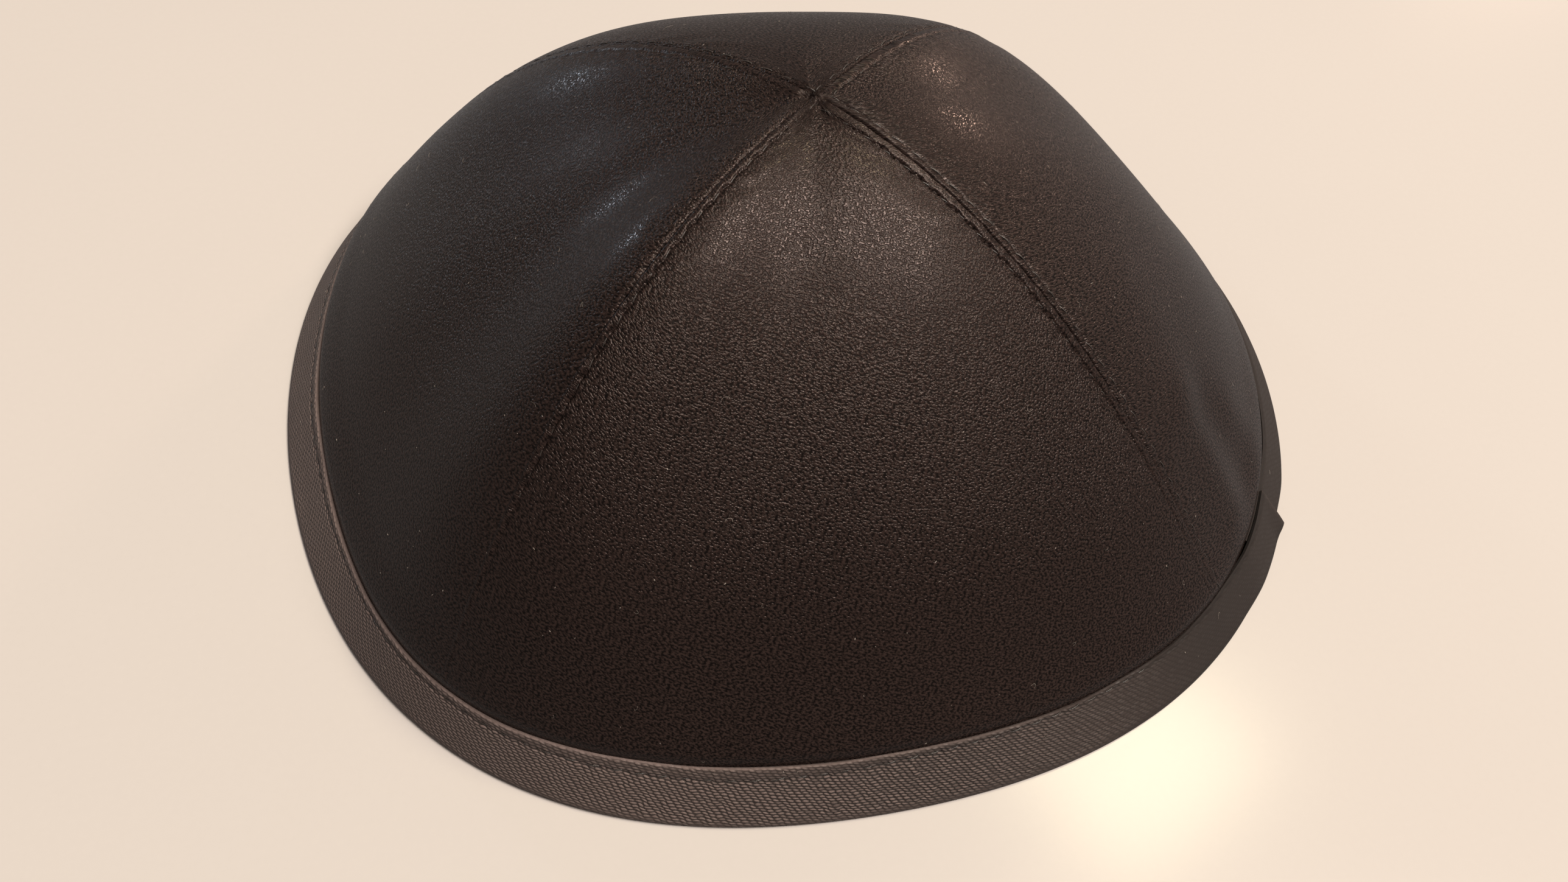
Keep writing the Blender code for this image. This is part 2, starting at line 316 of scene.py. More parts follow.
def radius_and_height(azimuth, arc):
    """Radius and height of crown points; below the rim the wall runs straight on."""
    radii, heights, wholes = crown_tables()
    place = np.mod(azimuth, 360.0) / TABLE_STEP_DEG
    step = np.floor(place).astype(int)
    aside = place - step
    here, after = step % len(wholes), (step + 1) % len(wholes)
    share = arc / whole_arc(azimuth)
    row = np.clip(share, 0.0, 1.0) * (TABLE_SHARES - 1)
    low = np.minimum(np.floor(row).astype(int), TABLE_SHARES - 2)
    up = row - low
    below = np.minimum(share, 0.0) * (TABLE_SHARES - 1)
    found = []
    for table in (radii, heights):
        lower = table[here, low] * (1.0 - aside) + table[after, low] * aside
        upper = table[here, low + 1] * (1.0 - aside) + table[after, low + 1] * aside
        found.append(lower * (1.0 - up) + upper * up + (upper - lower) * below)
    return found


def crown_point(azimuth, arc):
    """Points of the crown surface, in the cap's frame."""
    azimuth, arc = np.broadcast_arrays(np.asarray(azimuth, float), np.asarray(arc, float))
    radius, height = radius_and_height(azimuth, arc)
    turn = np.radians(azimuth)
    return np.stack((AXIS[0] + radius * np.cos(turn), AXIS[1] + radius * np.sin(turn), height), axis=-1)


def crown_normal(azimuth, arc):
    """Outward normals of the crown."""
    azimuth, arc = np.broadcast_arrays(np.asarray(azimuth, float), np.asarray(arc, float))
    share = np.clip(arc / whole_arc(azimuth), 0.0, 0.9985)
    held = share * whole_arc(azimuth)
    after = crown_point(azimuth + NORMAL_STEP_DEG, share * whole_arc(azimuth + NORMAL_STEP_DEG))
    before = crown_point(azimuth - NORMAL_STEP_DEG, share * whole_arc(azimuth - NORMAL_STEP_DEG))
    along = crown_point(azimuth, held + NORMAL_STEP) - crown_point(azimuth, held - NORMAL_STEP)
    normal = np.cross(after - before, along)
    return normal / np.linalg.norm(normal, axis=-1, keepdims=True)


def offset_point(azimuth, arc, offset):
    """Points at a distance outside the crown surface."""
    return crown_point(azimuth, arc) + np.asarray(offset)[..., None] * crown_normal(azimuth, arc)


# Relief of the satin
def seam_distances(azimuth, arc):
    """For each seam, the distance of points from it and the side that they lie on."""
    radius = radius_and_height(azimuth, arc)[0]
    found = []
    for seam in SEAMS:
        turn = np.radians((azimuth - seam.azimuth_deg + 180.0) % 360.0 - 180.0)
        beside = np.abs(turn) < 0.5 * np.pi
        found.append((np.where(beside, radius * np.sin(np.abs(turn)), radius), np.where(turn < 0.0, -1, 1)))
    return found


def row_aside(number, side, arc, cloth):
    """Distance of a stitch row from its seam, which changes from the rim to the top."""
    shape = SEAM_SIDES[number, side]
    up = smooth_step((arc - 30.0 * MM) / (55.0 * MM))
    return cloth.stitch_aside * (shape.aside_rim + up * (shape.aside_top - shape.aside_rim))


def seam_fade(arc):
    """How strongly a seam shows; it fades towards the tape."""
    return 0.10 + 0.90 * smooth_step((arc - 16.0 * MM) / (56.0 * MM))


def seam_height_share(number, arc):
    """0 where the seam is a thin ridge, 1 where it is a groove beside a padded band."""
    if number != 2:
        return np.ones_like(arc)
    return smooth_step((arc - RIDGE_END) / (BAND_START - RIDGE_END))


def seam_band_share(number, away, side, arc, cloth):
    """How far a point lies on the padded band beside a seam, from 0 to 1."""
    aside = row_aside(number, side, arc, cloth)
    fade = seam_fade(arc)
    plateau = smooth_step(away / (0.3 * MM)) * (1.0 - smooth_step((away - 0.72 * aside) / (0.42 * aside)))
    return SEAM_SIDES[number, side].band * fade * plateau * seam_height_share(number, arc)


def seam_calm(number, away, side, arc, cloth):
    """Height of the padded band or the thin ridge at a seam, before it is sewn."""
    height = cloth.seam_band * seam_band_share(number, away, side, arc, cloth)
    if (number, side) == (2, 1):
        ridge = seam_fade(arc + 12.0 * MM) * (1.0 - seam_height_share(number, arc)) * bell(away - 0.30 * MM, 0.34 * MM)
        height = height + 0.24 * MM * ridge
    return height


def seam_sewn(number, away, side, arc, cloth):
    """What sewing adds to one side of a seam: its groove, its stitches' dips and the cloth's crinkles."""
    shape = SEAM_SIDES[number, side]
    aside = row_aside(number, side, arc, cloth)
    fade = seam_fade(arc)
    high = seam_height_share(number, arc)
    groove = -cloth.seam_groove * (0.1 + 0.9 * high) * bell(away, 0.17 * MM)
    crinkle = 0.09 * MM * ripple(arc + 0.8 * away, 1.1 * MM, 20 + number) * bell(away, 0.7 * MM)
    drawn = 0.10 * MM * ripple(arc - 0.7 * away, 3.2 * MM, 40 + number) * bell(away - 2.6 * MM, 2.0 * MM)
    height = groove + crinkle + drawn
    if (number, side) == (2, -1):
        height = height - 0.15 * MM * high * bell(away - 0.10 * MM, 0.50 * MM)
        height = height + 0.13 * MM * high * ripple(arc + 1.1 * away, 1.9 * MM, 31) * bell(away - 1.2 * MM, 1.6 * MM)
    if (number, side) == (3, 1):
        height = height + 0.10 * MM * ripple(arc + 0.9 * away, 1.5 * MM, 33) * bell(away - 0.6 * MM, 0.8 * MM)
    if shape.row > 0.0:
        beat = stitch_beat(number, side, arc, cloth)
        slanted = away - aside - 0.08 * MM + 0.42 * MM * beat
        under = smooth_step((0.46 - np.abs(beat)) / 0.08)
        height = height - 0.15 * MM * shape.row * under * bell(slanted, 0.16 * MM)
        ends = bell((np.abs(beat) - 0.43) * cloth.stitch_pitch, 0.34 * MM) * bell(away - aside, 0.26 * MM)
        height = height - 0.20 * MM * shape.row * (1.0 + 0.6 * (1.0 - high)) * ends
        height = height + 0.04 * MM * np.cos(2.0 * np.pi * beat) * bell(away - aside - 0.8 * MM, 0.7 * MM)
    return fade * height


@lru_cache(maxsize=None)
def row_line(number, side, cloth):
    """A stitch row: its azimuths, arcs and points, their share of its length, and its count of gaps."""
    seam = SEAMS[number]
    whole = float(whole_arc(np.array(seam.azimuth_deg)))
    arc = np.arange(ROW_START, whole, 0.4 * MM)
    radius = radius_and_height(np.full_like(arc, seam.azimuth_deg), arc)[0]
    aside = row_aside(number, side, arc, cloth)
    kept = radius > aside * 1.6 + 0.6 * MM
    arc, radius, aside = arc[kept], radius[kept], aside[kept]
    azimuth = seam.azimuth_deg + side * np.degrees(np.arcsin(np.minimum(aside / radius, 1.0)))
    arc = arc / whole * whole_arc(azimuth)
    points = offset_point(azimuth, arc, cloth_height(azimuth, arc, cloth, sewn=False))
    length = np.concatenate(([0.0], np.cumsum(np.linalg.norm(np.diff(points, axis=0), axis=1))))
    gaps = int(length[-1] / cloth.stitch_pitch)
    return azimuth, arc, points, length / length[-1], gaps


def stitch_beat(number, side, arc, cloth):
    """How far along the nearest stitch a point lies, from -0.5 to 0.5 of the pitch."""
    row_arc, shares, gaps = row_line(number, side, cloth)[1], *row_line(number, side, cloth)[3:]
    place = np.interp(arc, row_arc, shares) * gaps
    return place - np.round(place)


def pucker_height(azimuth, arc):
    """Height that the puckers near the tape's end give the cloth."""
    whole = whole_arc(azimuth)
    share = arc / whole
    radius = radius_and_height(azimuth, arc)[0]
    height = np.zeros_like(radius)
    for pucker in PUCKERS:
        along = (share - pucker.low_share) / (pucker.high_share - pucker.low_share)
        held = np.clip(along, 0.0, 1.0)
        middle = pucker.low_deg + held * (pucker.high_deg - pucker.low_deg)
        aside = (azimuth - middle + 180.0) % 360.0 - 180.0
        distance = radius * np.radians(aside) / (PUCKER_WIDTH * pucker.width)
        beyond = (along - held) * (pucker.high_share - pucker.low_share) * whole / PUCKER_WIDTH
        height += PUCKER_HEIGHT * pucker.height * np.exp(-distance ** 2 - beyond ** 2)
    return height


def cloth_height(azimuth, arc, cloth, sewn=True):
    """How far the satin's outer face lies from the crown surface."""
    azimuth, arc = np.broadcast_arrays(np.asarray(azimuth, float), np.asarray(arc, float))
    clear = smooth_step((arc - 9.6 * MM) / (3.6 * MM))
    height = -0.75 * MM + 0.95 * MM * clear - 0.20 * MM * smooth_step((arc - 14.0 * MM) / (7.0 * MM))
    height = height + pucker_height(azimuth, arc) * smooth_step((arc - 10.5 * MM) / (9.0 * MM))
    waves = np.sin(np.radians(3.0 * azimuth) + arc / (14.0 * MM)) * np.sin(arc / (17.0 * MM) + 1.0)
    height = height + 0.08 * MM * waves * clear
    distances = seam_distances(azimuth, arc)
    to_main = np.minimum(distances[0][0], distances[2][0])
    for number, (away, turn_side) in enumerate(distances):
        for side in (1, -1):
            relief = seam_calm(number, away, side, arc, cloth)
            if sewn:
                relief = relief + seam_sewn(number, away, side, arc, cloth)
            if number not in MAIN_SEAMS:
                relief = relief * smooth_step((to_main - 1.2 * MM) / (1.0 * MM))
            height = height + np.where(turn_side * side >= 0.5, relief, 0.0) * (0.25 + 0.75 * clear)
    if sewn:
        radius = radius_and_height(azimuth, arc)[0]
        turn = np.radians(azimuth)
        to_hole = np.hypot(radius * np.cos(turn) - TOP_HOLE[0], radius * np.sin(turn) - TOP_HOLE[1])
        height = height + 0.06 * MM * bell(radius, 0.6 * MM) - 0.55 * MM * bell(to_hole, 0.45 * MM)
    return height


def grain_share(azimuth, arc, cloth):
    """How strong the satin's grain is: weaker on the bands beside the seams and near the tape."""
    flat = np.zeros(np.broadcast(azimuth, arc).shape)
    for number, (away, turn_side) in enumerate(seam_distances(azimuth, arc)):
        for side in (1, -1):
            share = seam_band_share(number, away, side, arc, cloth)
            flat = np.maximum(flat, np.where(turn_side * side >= 0.5, share, 0.0))
    low = 1.0 - smooth_step((arc - 20.0 * MM) / (36.0 * MM))
    return (1.0 - 0.55 * flat) * (1.0 - 0.52 * low)


# Meshes
def fill_mesh(name, points, faces, uvs=None, values=()):
    """A named mesh from points and faces, shaded smooth, with a map of the flat cloth in metres."""
    mesh = bpy.data.meshes.new(name)
    mesh.from_pydata(np.asarray(points).tolist(), [], faces)
    if uvs is not None:
        layer = mesh.uv_layers.new(name="ClothMap")
        loops = np.zeros(len(mesh.loops), int)
        mesh.loops.foreach_get("vertex_index", loops)
        layer.uv.foreach_set("vector", np.asarray(uvs)[loops].astype(np.float32).ravel())
    for label, numbers in values:
        attribute = mesh.attributes.new(label, "FLOAT", "POINT")
        attribute.data.foreach_set("value", np.asarray(numbers, np.float32))
    mesh.shade_smooth()
    mesh.set_sharp_from_angle(angle=SHARP_ANGLE)
    mesh.update()
    return mesh


def border_faces(fine, coarse, picks, turned):
    """Faces between a fine edge and the coarse edge under it; picks are the fine points that both have."""
    faces = []
    for place, (first, last) in enumerate(zip(picks, picks[1:])):
        face = fine[last:first - 1 if first else None:-1].tolist() + [int(coarse[place]), int(coarse[place + 1])]
        faces.append(face[::-1] if turned else face)
    return faces


def sheet_mesh(name, outer, inner, uvs, values, tipped=False):
    """A closed sheet of cloth: a fine outer face, a coarser inner one and the borders between them."""
    rows, columns = outer.shape[:2]
    row_picks = np.unique(np.append(np.arange(0, rows, INNER_EVERY), rows - 1))
    column_picks = np.unique(np.append(np.arange(0, columns, INNER_EVERY), columns - 1))
    picked = np.ix_(row_picks, column_picks)
    over = np.arange(rows * columns).reshape(rows, columns)
    under = rows * columns + np.arange(len(row_picks) * len(column_picks)).reshape(len(row_picks), -1)
    faces = grid_faces(over) + [face[::-1] for face in grid_faces(under)]
    faces += border_faces(over[0], under[0], column_picks, False)
    faces += border_faces(over[:, -1], under[:, -1], row_picks, False)
    faces += border_faces(over[:, 0], under[:, 0], row_picks, True)
    grids = [(outer, inner), (uvs, uvs), *((numbers, numbers) for label, numbers in values)]
    flat = [np.concatenate((first.reshape(rows * columns, -1), second[picked].reshape(under.size, -1)))
            for first, second in grids]
    if tipped:
        tips = [[first[-1].mean(axis=0), second[-1].mean(axis=0)] for first, second in grids]
        flat = [np.concatenate((first, np.reshape(tip, (2, -1)))) for first, tip in zip(flat, tips)]
        top, below = len(flat[0]) - 2, len(flat[0]) - 1
        last, low = over[-1].tolist(), under[-1].tolist()
        faces += [[left, right, top] for left, right in zip(last, last[1:])]
        faces += [[right, left, below] for left, right in zip(low, low[1:])]
        faces += [[last[0], top, below, low[0]], [top, last[-1], low[-1], below]]
    else:
        faces += border_faces(over[-1], under[-1], column_picks, True)
    shares = [(label, numbers.ravel()) for (label, old), numbers in zip(values, flat[2:])]
    return fill_mesh(name, flat[0], faces, flat[1], shares)


def add_piece(mesh, material):
    """An object at the origin that carries the mesh."""
    piece = bpy.data.objects.new(mesh.name, mesh)
    mesh.materials.clear()
    mesh.materials.append(material)
    bpy.context.scene.collection.objects.link(piece)
    return piece


def bake_modifiers(piece, material):
    """Replaces the piece's mesh by what its modifiers make of it, and removes them."""
    bpy.context.view_layer.update()
    depsgraph = bpy.context.evaluated_depsgraph_get()
    mesh = bpy.data.meshes.new_from_object(piece.evaluated_get(depsgraph), depsgraph=depsgraph)
    piece.modifiers.clear()
    piece.data = mesh
    mesh.name = piece.name
    mesh.materials.clear()
    mesh.materials.append(material)
    if not mesh.polygons:
        raise RuntimeError(piece.name + " came out empty")
    return piece


def grid_faces(numbers):
    """Quads of a grid of numbered points."""
    corners = (numbers[:-1, :-1], numbers[:-1, 1:], numbers[1:, 1:], numbers[1:, :-1])
    return np.stack([corner.ravel() for corner in corners], axis=1).tolist()


def column_shares(half_width, count):
    """Shares of half a panel's width from its seam to its middle, close together at the seam."""
    step = np.arange(count + 1)
    even = step / count
    fine = FINE_STEP * np.minimum(step, FINE_COLUMNS)
    rest = np.clip((step - FINE_COLUMNS) / (count - FINE_COLUMNS), 0.0, 1.0) ** COLUMN_SPREAD
    width = np.maximum(half_width, NARROW_PANEL * 0.5)[:, None]
    graded = (fine + (width - FINE_STEP * FINE_COLUMNS) * rest) / width
    wide = smooth_step((half_width - 0.5 * NARROW_PANEL) / NARROW_PANEL)[:, None]
    return wide * graded + (1.0 - wide) * even


def panel_grid(seam, following):
    """Azimuths and arcs of a panel's fine grid."""
    span = (following.azimuth_deg - seam.azimuth_deg) % 360.0
    middle = seam.azimuth_deg + 0.5 * span
    low = np.linspace(PANEL_START, PANEL_LOW_END, PANEL_LOW_ROWS + 1)
    shares = np.linspace(0.0, 1.0, PANEL_HIGH_ROWS + 1)[1:-1]
    reach = np.concatenate((low / whole_arc(middle), PANEL_LOW_END / whole_arc(middle)
                            + shares * (1.0 - PANEL_LOW_END / whole_arc(middle))))
    radius = radius_and_height(np.full_like(reach, seam.azimuth_deg), reach * whole_arc(seam.azimuth_deg))[0]
    half = column_shares(radius * np.radians(0.5 * span), seam.columns)
    across = np.concatenate((0.5 * half, 1.0 - 0.5 * half[:, -2::-1]), axis=1)
    azimuth = seam.azimuth_deg + across * span
    whole = whole_arc(azimuth)
    climb = smooth_step((reach * whole_arc(middle) - PANEL_LOW_END) / (30.0 * MM))[:, None]
    arc = (1.0 - climb) * (reach[:, None] * whole_arc(middle)) + climb * (reach[:, None] * whole)
    return azimuth, np.minimum(arc, whole - 0.05 * MM)


def make_panel(number, cloth, material):
    """One crown panel: a fine sheet with its seams' relief, closed at the top."""
    seam = SEAMS[number]
    azimuth, arc = panel_grid(seam, SEAMS[(number + 1) % len(SEAMS)])
    outer = offset_point(azimuth, arc, cloth_height(azimuth, arc, cloth))
    inner = offset_point(azimuth, arc, cloth_height(azimuth, arc, cloth, sewn=False) - cloth.cloth_wall)
    radius = radius_and_height(azimuth, arc)[0]
    middle = azimuth[:, azimuth.shape[1] // 2][:, None]
    uvs = np.stack((radius * np.radians(azimuth - middle), arc), axis=-1)
    values = [("grain_share", grain_share(azimuth, arc, cloth))]
    mesh = sheet_mesh("satin_" + seam.panel, outer, inner, uvs, values, tipped=True)
    piece = add_piece(mesh, material)
    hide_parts(seam.panel)
    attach(piece, "root")
    return piece


# The tape
def stitch_arc(azimuth):
    """Arc of the tape's stitch row."""
    degrees = [inset.azimuth_deg for inset in STITCH_INSETS]
    insets = [inset.inset * MM for inset in STITCH_INSETS]
    near = [np.interp(np.mod(azimuth + shift, 360.0), degrees, insets) for shift in (-6.0, -3.0, 0.0, 3.0, 6.0)]
    return TAPE_OUTSIDE - sum(near) / len(near)


def tape_length(azimuth):
    """Length along the tape from azimuth 0, at its mean radius."""
    return RIM_RADIUS * np.radians(azimuth)


def tape_relief(azimuth, arc, cloth):
    """Height of the tape's outer face: its stitch row, its selvedge and gentle waves."""
    length = tape_length(azimuth)
    beat = np.cos(2.0 * np.pi * length / cloth.stitch_pitch)
    to_row = arc - stitch_arc(azimuth)
    row = -(0.16 + 0.08 * beat) * MM * bell(to_row, 0.32 * MM)
    selvedge = 0.10 * MM * bell(arc - TAPE_OUTSIDE + 0.35 * MM, 0.35 * MM)
    waves = 0.14 * MM * ripple(length, 13.0 * MM, 61) + 0.05 * MM * ripple(length + 0.4 * arc, 4.0 * MM, 62)
    return row + selvedge + waves * smooth_step(arc / (4.0 * MM))


def tape_shares(azimuth, arc, outside):
    """How strong the tape's ribs are and how light it is over its width, with painted light and painted shade in its
    tone.
    """
    to_row = arc - stitch_arc(azimuth)
    from_edge = TAPE_OUTSIDE - arc
    selvedge = bell(from_edge - 0.12 * MM, 0.22 * MM)
    above = smooth_step(to_row / (0.5 * MM))
    foot = 1.0 - smooth_step((arc - 0.7 * MM) / (1.5 * MM))
    sunk = bell(to_row, 0.35 * MM)
    clear = smooth_step((np.abs((azimuth - 355.0 + 180.0) % 360.0 - 180.0) - 34.0) / 44.0)
    ribs = (1.0 - 0.45 * above) * (1.0 - 0.75 * foot) * (1.0 - 0.9 * selvedge) * (0.12 + 0.88 * clear)
    cut = bell(tape_length(TAPE_END_DEG + 360.0 - azimuth), 0.35 * MM)
    # Painted shade: the tone is darker at the foot, just above the fold onto the floor, and in the stitch row's
    # groove.
    tone = (1.0 - 0.42 * above) * (1.0 - 0.40 * foot) * (1.0 - 0.45 * sunk) + (0.2 + 0.7 * clear) * selvedge + cut
    # Painted light and shade: the tone is painted lighter towards azimuth 190, on the left where the cool light falls,
    # and darker towards azimuth 355 on the right, near the tape's end.
    tone = tone * (0.20 + 0.80 * clear) * (1.0 + 1.3 * np.maximum(np.cos(np.radians(azimuth - 190.0)), 0.0))
    return np.where(outside, ribs, 0.5), np.where(outside, tone, 0.8)


def tape_layer(cloth):
    """Room that one layer of the tape takes where it is lapped."""
    return cloth.tape_wall + 0.05 * MM


def tape_lap(azimuth):
    """How far the tape is on its last layer and how far under it; it runs from its end's azimuth to one turn on."""
    lap = math.degrees(TAPE_LAP / float(rim_radius(np.array(TAPE_END_DEG))))
    ramp = math.degrees(TAPE_LAP_RAMP / float(rim_radius(np.array(TAPE_END_DEG))))
    rising = smooth_step((azimuth - (TAPE_END_DEG + 360.0 - lap - ramp)) / ramp)
    return rising, 1.0 - smooth_step((azimuth - TAPE_END_DEG) / ramp)


def tape_lift(azimuth, cloth):
    """How far the tape's outer face stands off where it is lapped, and sinks where it lies under the lap."""
    rising, under = tape_lap(azimuth)
    return TAPE_LIFT * rising - (tape_layer(cloth) - TAPE_LIFT) * under


def make_tape(cloth, material):
    """The tape: one strip folded round the rim, its end lapped over its start."""
    lap = math.degrees(TAPE_LAP / float(rim_radius(np.array(TAPE_END_DEG))))
    layer = tape_layer(cloth)
    start, end = TAPE_END_DEG - lap, TAPE_END_DEG + 360.0
    azimuth = np.linspace(start, end, TAPE_COLUMNS + 1)
    rising, under = tape_lap(azimuth)
    last = smooth_step(1.0 - (end - azimuth) / (0.35 * lap))
    lift = tape_lift(azimuth, cloth)
    base = layer * under
    flare = TAPE_FLARE * last
    inside = -(2.0 * cloth.tape_wall + cloth.cloth_wall + 0.35 * MM + layer * rising)
    normal = crown_normal(azimuth, 0.0)
    slope = crown_point(azimuth, NORMAL_STEP) - crown_point(azimuth, 0.0)
    slope /= np.linalg.norm(slope, axis=-1, keepdims=True)
    outer_foot = (base - lift * normal[:, 2]) / slope[:, 2]
    inner_foot = (base - inside * normal[:, 2]) / slope[:, 2]
    bend = 1.2 * MM
    edge = TAPE_OUTSIDE + 0.16 * MM * ripple(tape_length(azimuth), 11.0 * MM, 63)
    drops = np.linspace(0.0, 1.0, TAPE_EDGE_ROWS + 1) * TAPE_EDGE_END
    arcs = [edge - drop for drop in drops]
    leg = arcs[-1] - outer_foot - bend
    arcs += [arcs[TAPE_EDGE_ROWS] - share * leg for share in np.linspace(0.0, 1.0, TAPE_OUTER_ROWS + 1)[1:]]
    strips = []
    for arc in arcs:
        opened = flare * smooth_step(1.0 - np.maximum(arc, 0.0) / TAPE_OUTSIDE)
        tucked = 0.26 * MM * bell(arc - edge, 0.5 * MM)
        strips.append(offset_point(azimuth, arc, lift + opened - tucked + tape_relief(azimuth, arc, cloth)))
    outer_corner = offset_point(azimuth, outer_foot, lift)
    inner_corner = offset_point(azimuth, inner_foot, inside)
    outer_corner[:, 2] = base
    inner_corner[:, 2] = base
    inner_leg = offset_point(azimuth, inner_foot + bend, inside)
    middle = 0.5 * (outer_corner + inner_corner)
    for first, corner, last in ((strips[-1], outer_corner, middle), (middle, inner_corner, inner_leg)):
        for share in np.linspace(0.0, 1.0, TAPE_FOLD_ROWS + 1)[1:]:
            rest = 1.0 - share
            strips.append(rest * rest * first + 2.0 * rest * share * corner + share * share * last)
    for share in np.linspace(0.0, 1.0, TAPE_INNER_ROWS + 1)[1:]:
        arc = inner_foot + bend + share * (TAPE_INSIDE - inner_foot - bend)
        strips.append(offset_point(azimuth, arc, inside))
    points = np.stack(strips, axis=1)
    steps = np.linalg.norm(np.diff(points, axis=1), axis=-1)
    across = np.concatenate((np.zeros((len(azimuth), 1)), np.cumsum(steps, axis=1)), axis=1)
    uvs = np.stack((np.broadcast_to(tape_length(azimuth)[:, None], across.shape), -across), axis=-1)
    outward = np.cross(np.gradient(points, axis=1), np.gradient(points, axis=0))
    outward /= np.linalg.norm(outward, axis=-1, keepdims=True)
    outside = np.arange(points.shape[1])[None, :] < len(arcs) + TAPE_FOLD_ROWS
    ribs, tone = tape_shares(azimuth[:, None], TAPE_OUTSIDE - across, outside)
    values = [("rib_share", ribs), ("tone_and_painted_light_share", tone)]
    mesh = sheet_mesh("rim_tape_strip", points, points - cloth.tape_wall * outward, uvs, values)
    piece = add_piece(mesh, material)
    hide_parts("rim_binding")
    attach(piece, "root")
    return piece


# Node trees
def node_group(name, kind, inputs, outputs):
    """An empty node group with named sockets: each is a kind of socket, a name and a default."""
    tree = bpy.data.node_groups.new(name, kind)
    for socket, label, default in inputs:
        made = tree.interface.new_socket(name=label, in_out="INPUT", socket_type=socket)
        if default is not None:
            made.default_value = default
    for socket, label in outputs:
        tree.interface.new_socket(name=label, in_out="OUTPUT", socket_type=socket)
    return tree


def add_node(tree, kind, values=(), links=(), **settings):
    """A node with its settings, its input values and links into its inputs."""
    node = tree.nodes.new(kind)
    for name, value in settings.items():
        setattr(node, name, value)
    for socket, value in values:
        node.inputs[socket].default_value = value
    for source, socket in links:
        tree.links.new(source, node.inputs[socket])
    return node


def math_node(tree, operation, first, second=None, third=None):
    """A Math node's output; each operand is a number or a socket."""
    node = tree.nodes.new("ShaderNodeMath")
    node.operation = operation
    for place, operand in enumerate((first, second, third)):
        if operand is None:
            continue
        if isinstance(operand, (int, float)):
            node.inputs[place].default_value = operand
        else:
            tree.links.new(operand, node.inputs[place])
    return node.outputs[0]


# Shader groups that the materials share
def crepe_grain_group():
    """Flecks of the satin's crepe weave, stretched along one direction."""
    tree = node_group("Crepe Grain", "ShaderNodeTree", (
        ("NodeSocketVector", "Vector", None),
        ("NodeSocketFloat", "Fleck Length", 0.5 * MM),
        ("NodeSocketFloat", "Fleck Shape", 1.45),
        ("NodeSocketFloat", "Lean", 0.35),
    ), (("NodeSocketFloat", "Height"), ("NodeSocketFloat", "Fleck")))
    source = tree.nodes.new("NodeGroupInput")
    result = tree.nodes.new("NodeGroupOutput")
    turned = add_node(tree, "ShaderNodeVectorRotate", links=(
        (source.outputs["Vector"], "Vector"), (source.outputs["Lean"], "Angle")), rotation_type="Z_AXIS")
    parts = add_node(tree, "ShaderNodeSeparateXYZ", links=((turned.outputs["Vector"], 0),))
    along = math_node(tree, "DIVIDE", parts.outputs["X"], source.outputs["Fleck Length"])
    across = math_node(tree, "DIVIDE", parts.outputs["Y"], source.outputs["Fleck Length"])
    across = math_node(tree, "MULTIPLY", across, source.outputs["Fleck Shape"])
    placed = add_node(tree, "ShaderNodeCombineXYZ", links=((along, "X"), (across, "Y")))
    flecks = add_node(tree, "ShaderNodeTexNoise", (("Scale", 1.0), ("Detail", 1.5), ("Roughness", 0.5)),
                      ((placed.outputs[0], "Vector"),), noise_dimensions="2D")
    raised = add_node(tree, "ShaderNodeMapRange", (("From Min", 0.36), ("From Max", 0.66)),
                      ((flecks.outputs["Fac"], "Value"),))
    tree.links.new(raised.outputs["Result"], result.inputs["Height"])
    tree.links.new(flecks.outputs["Fac"], result.inputs["Fleck"])
    return tree


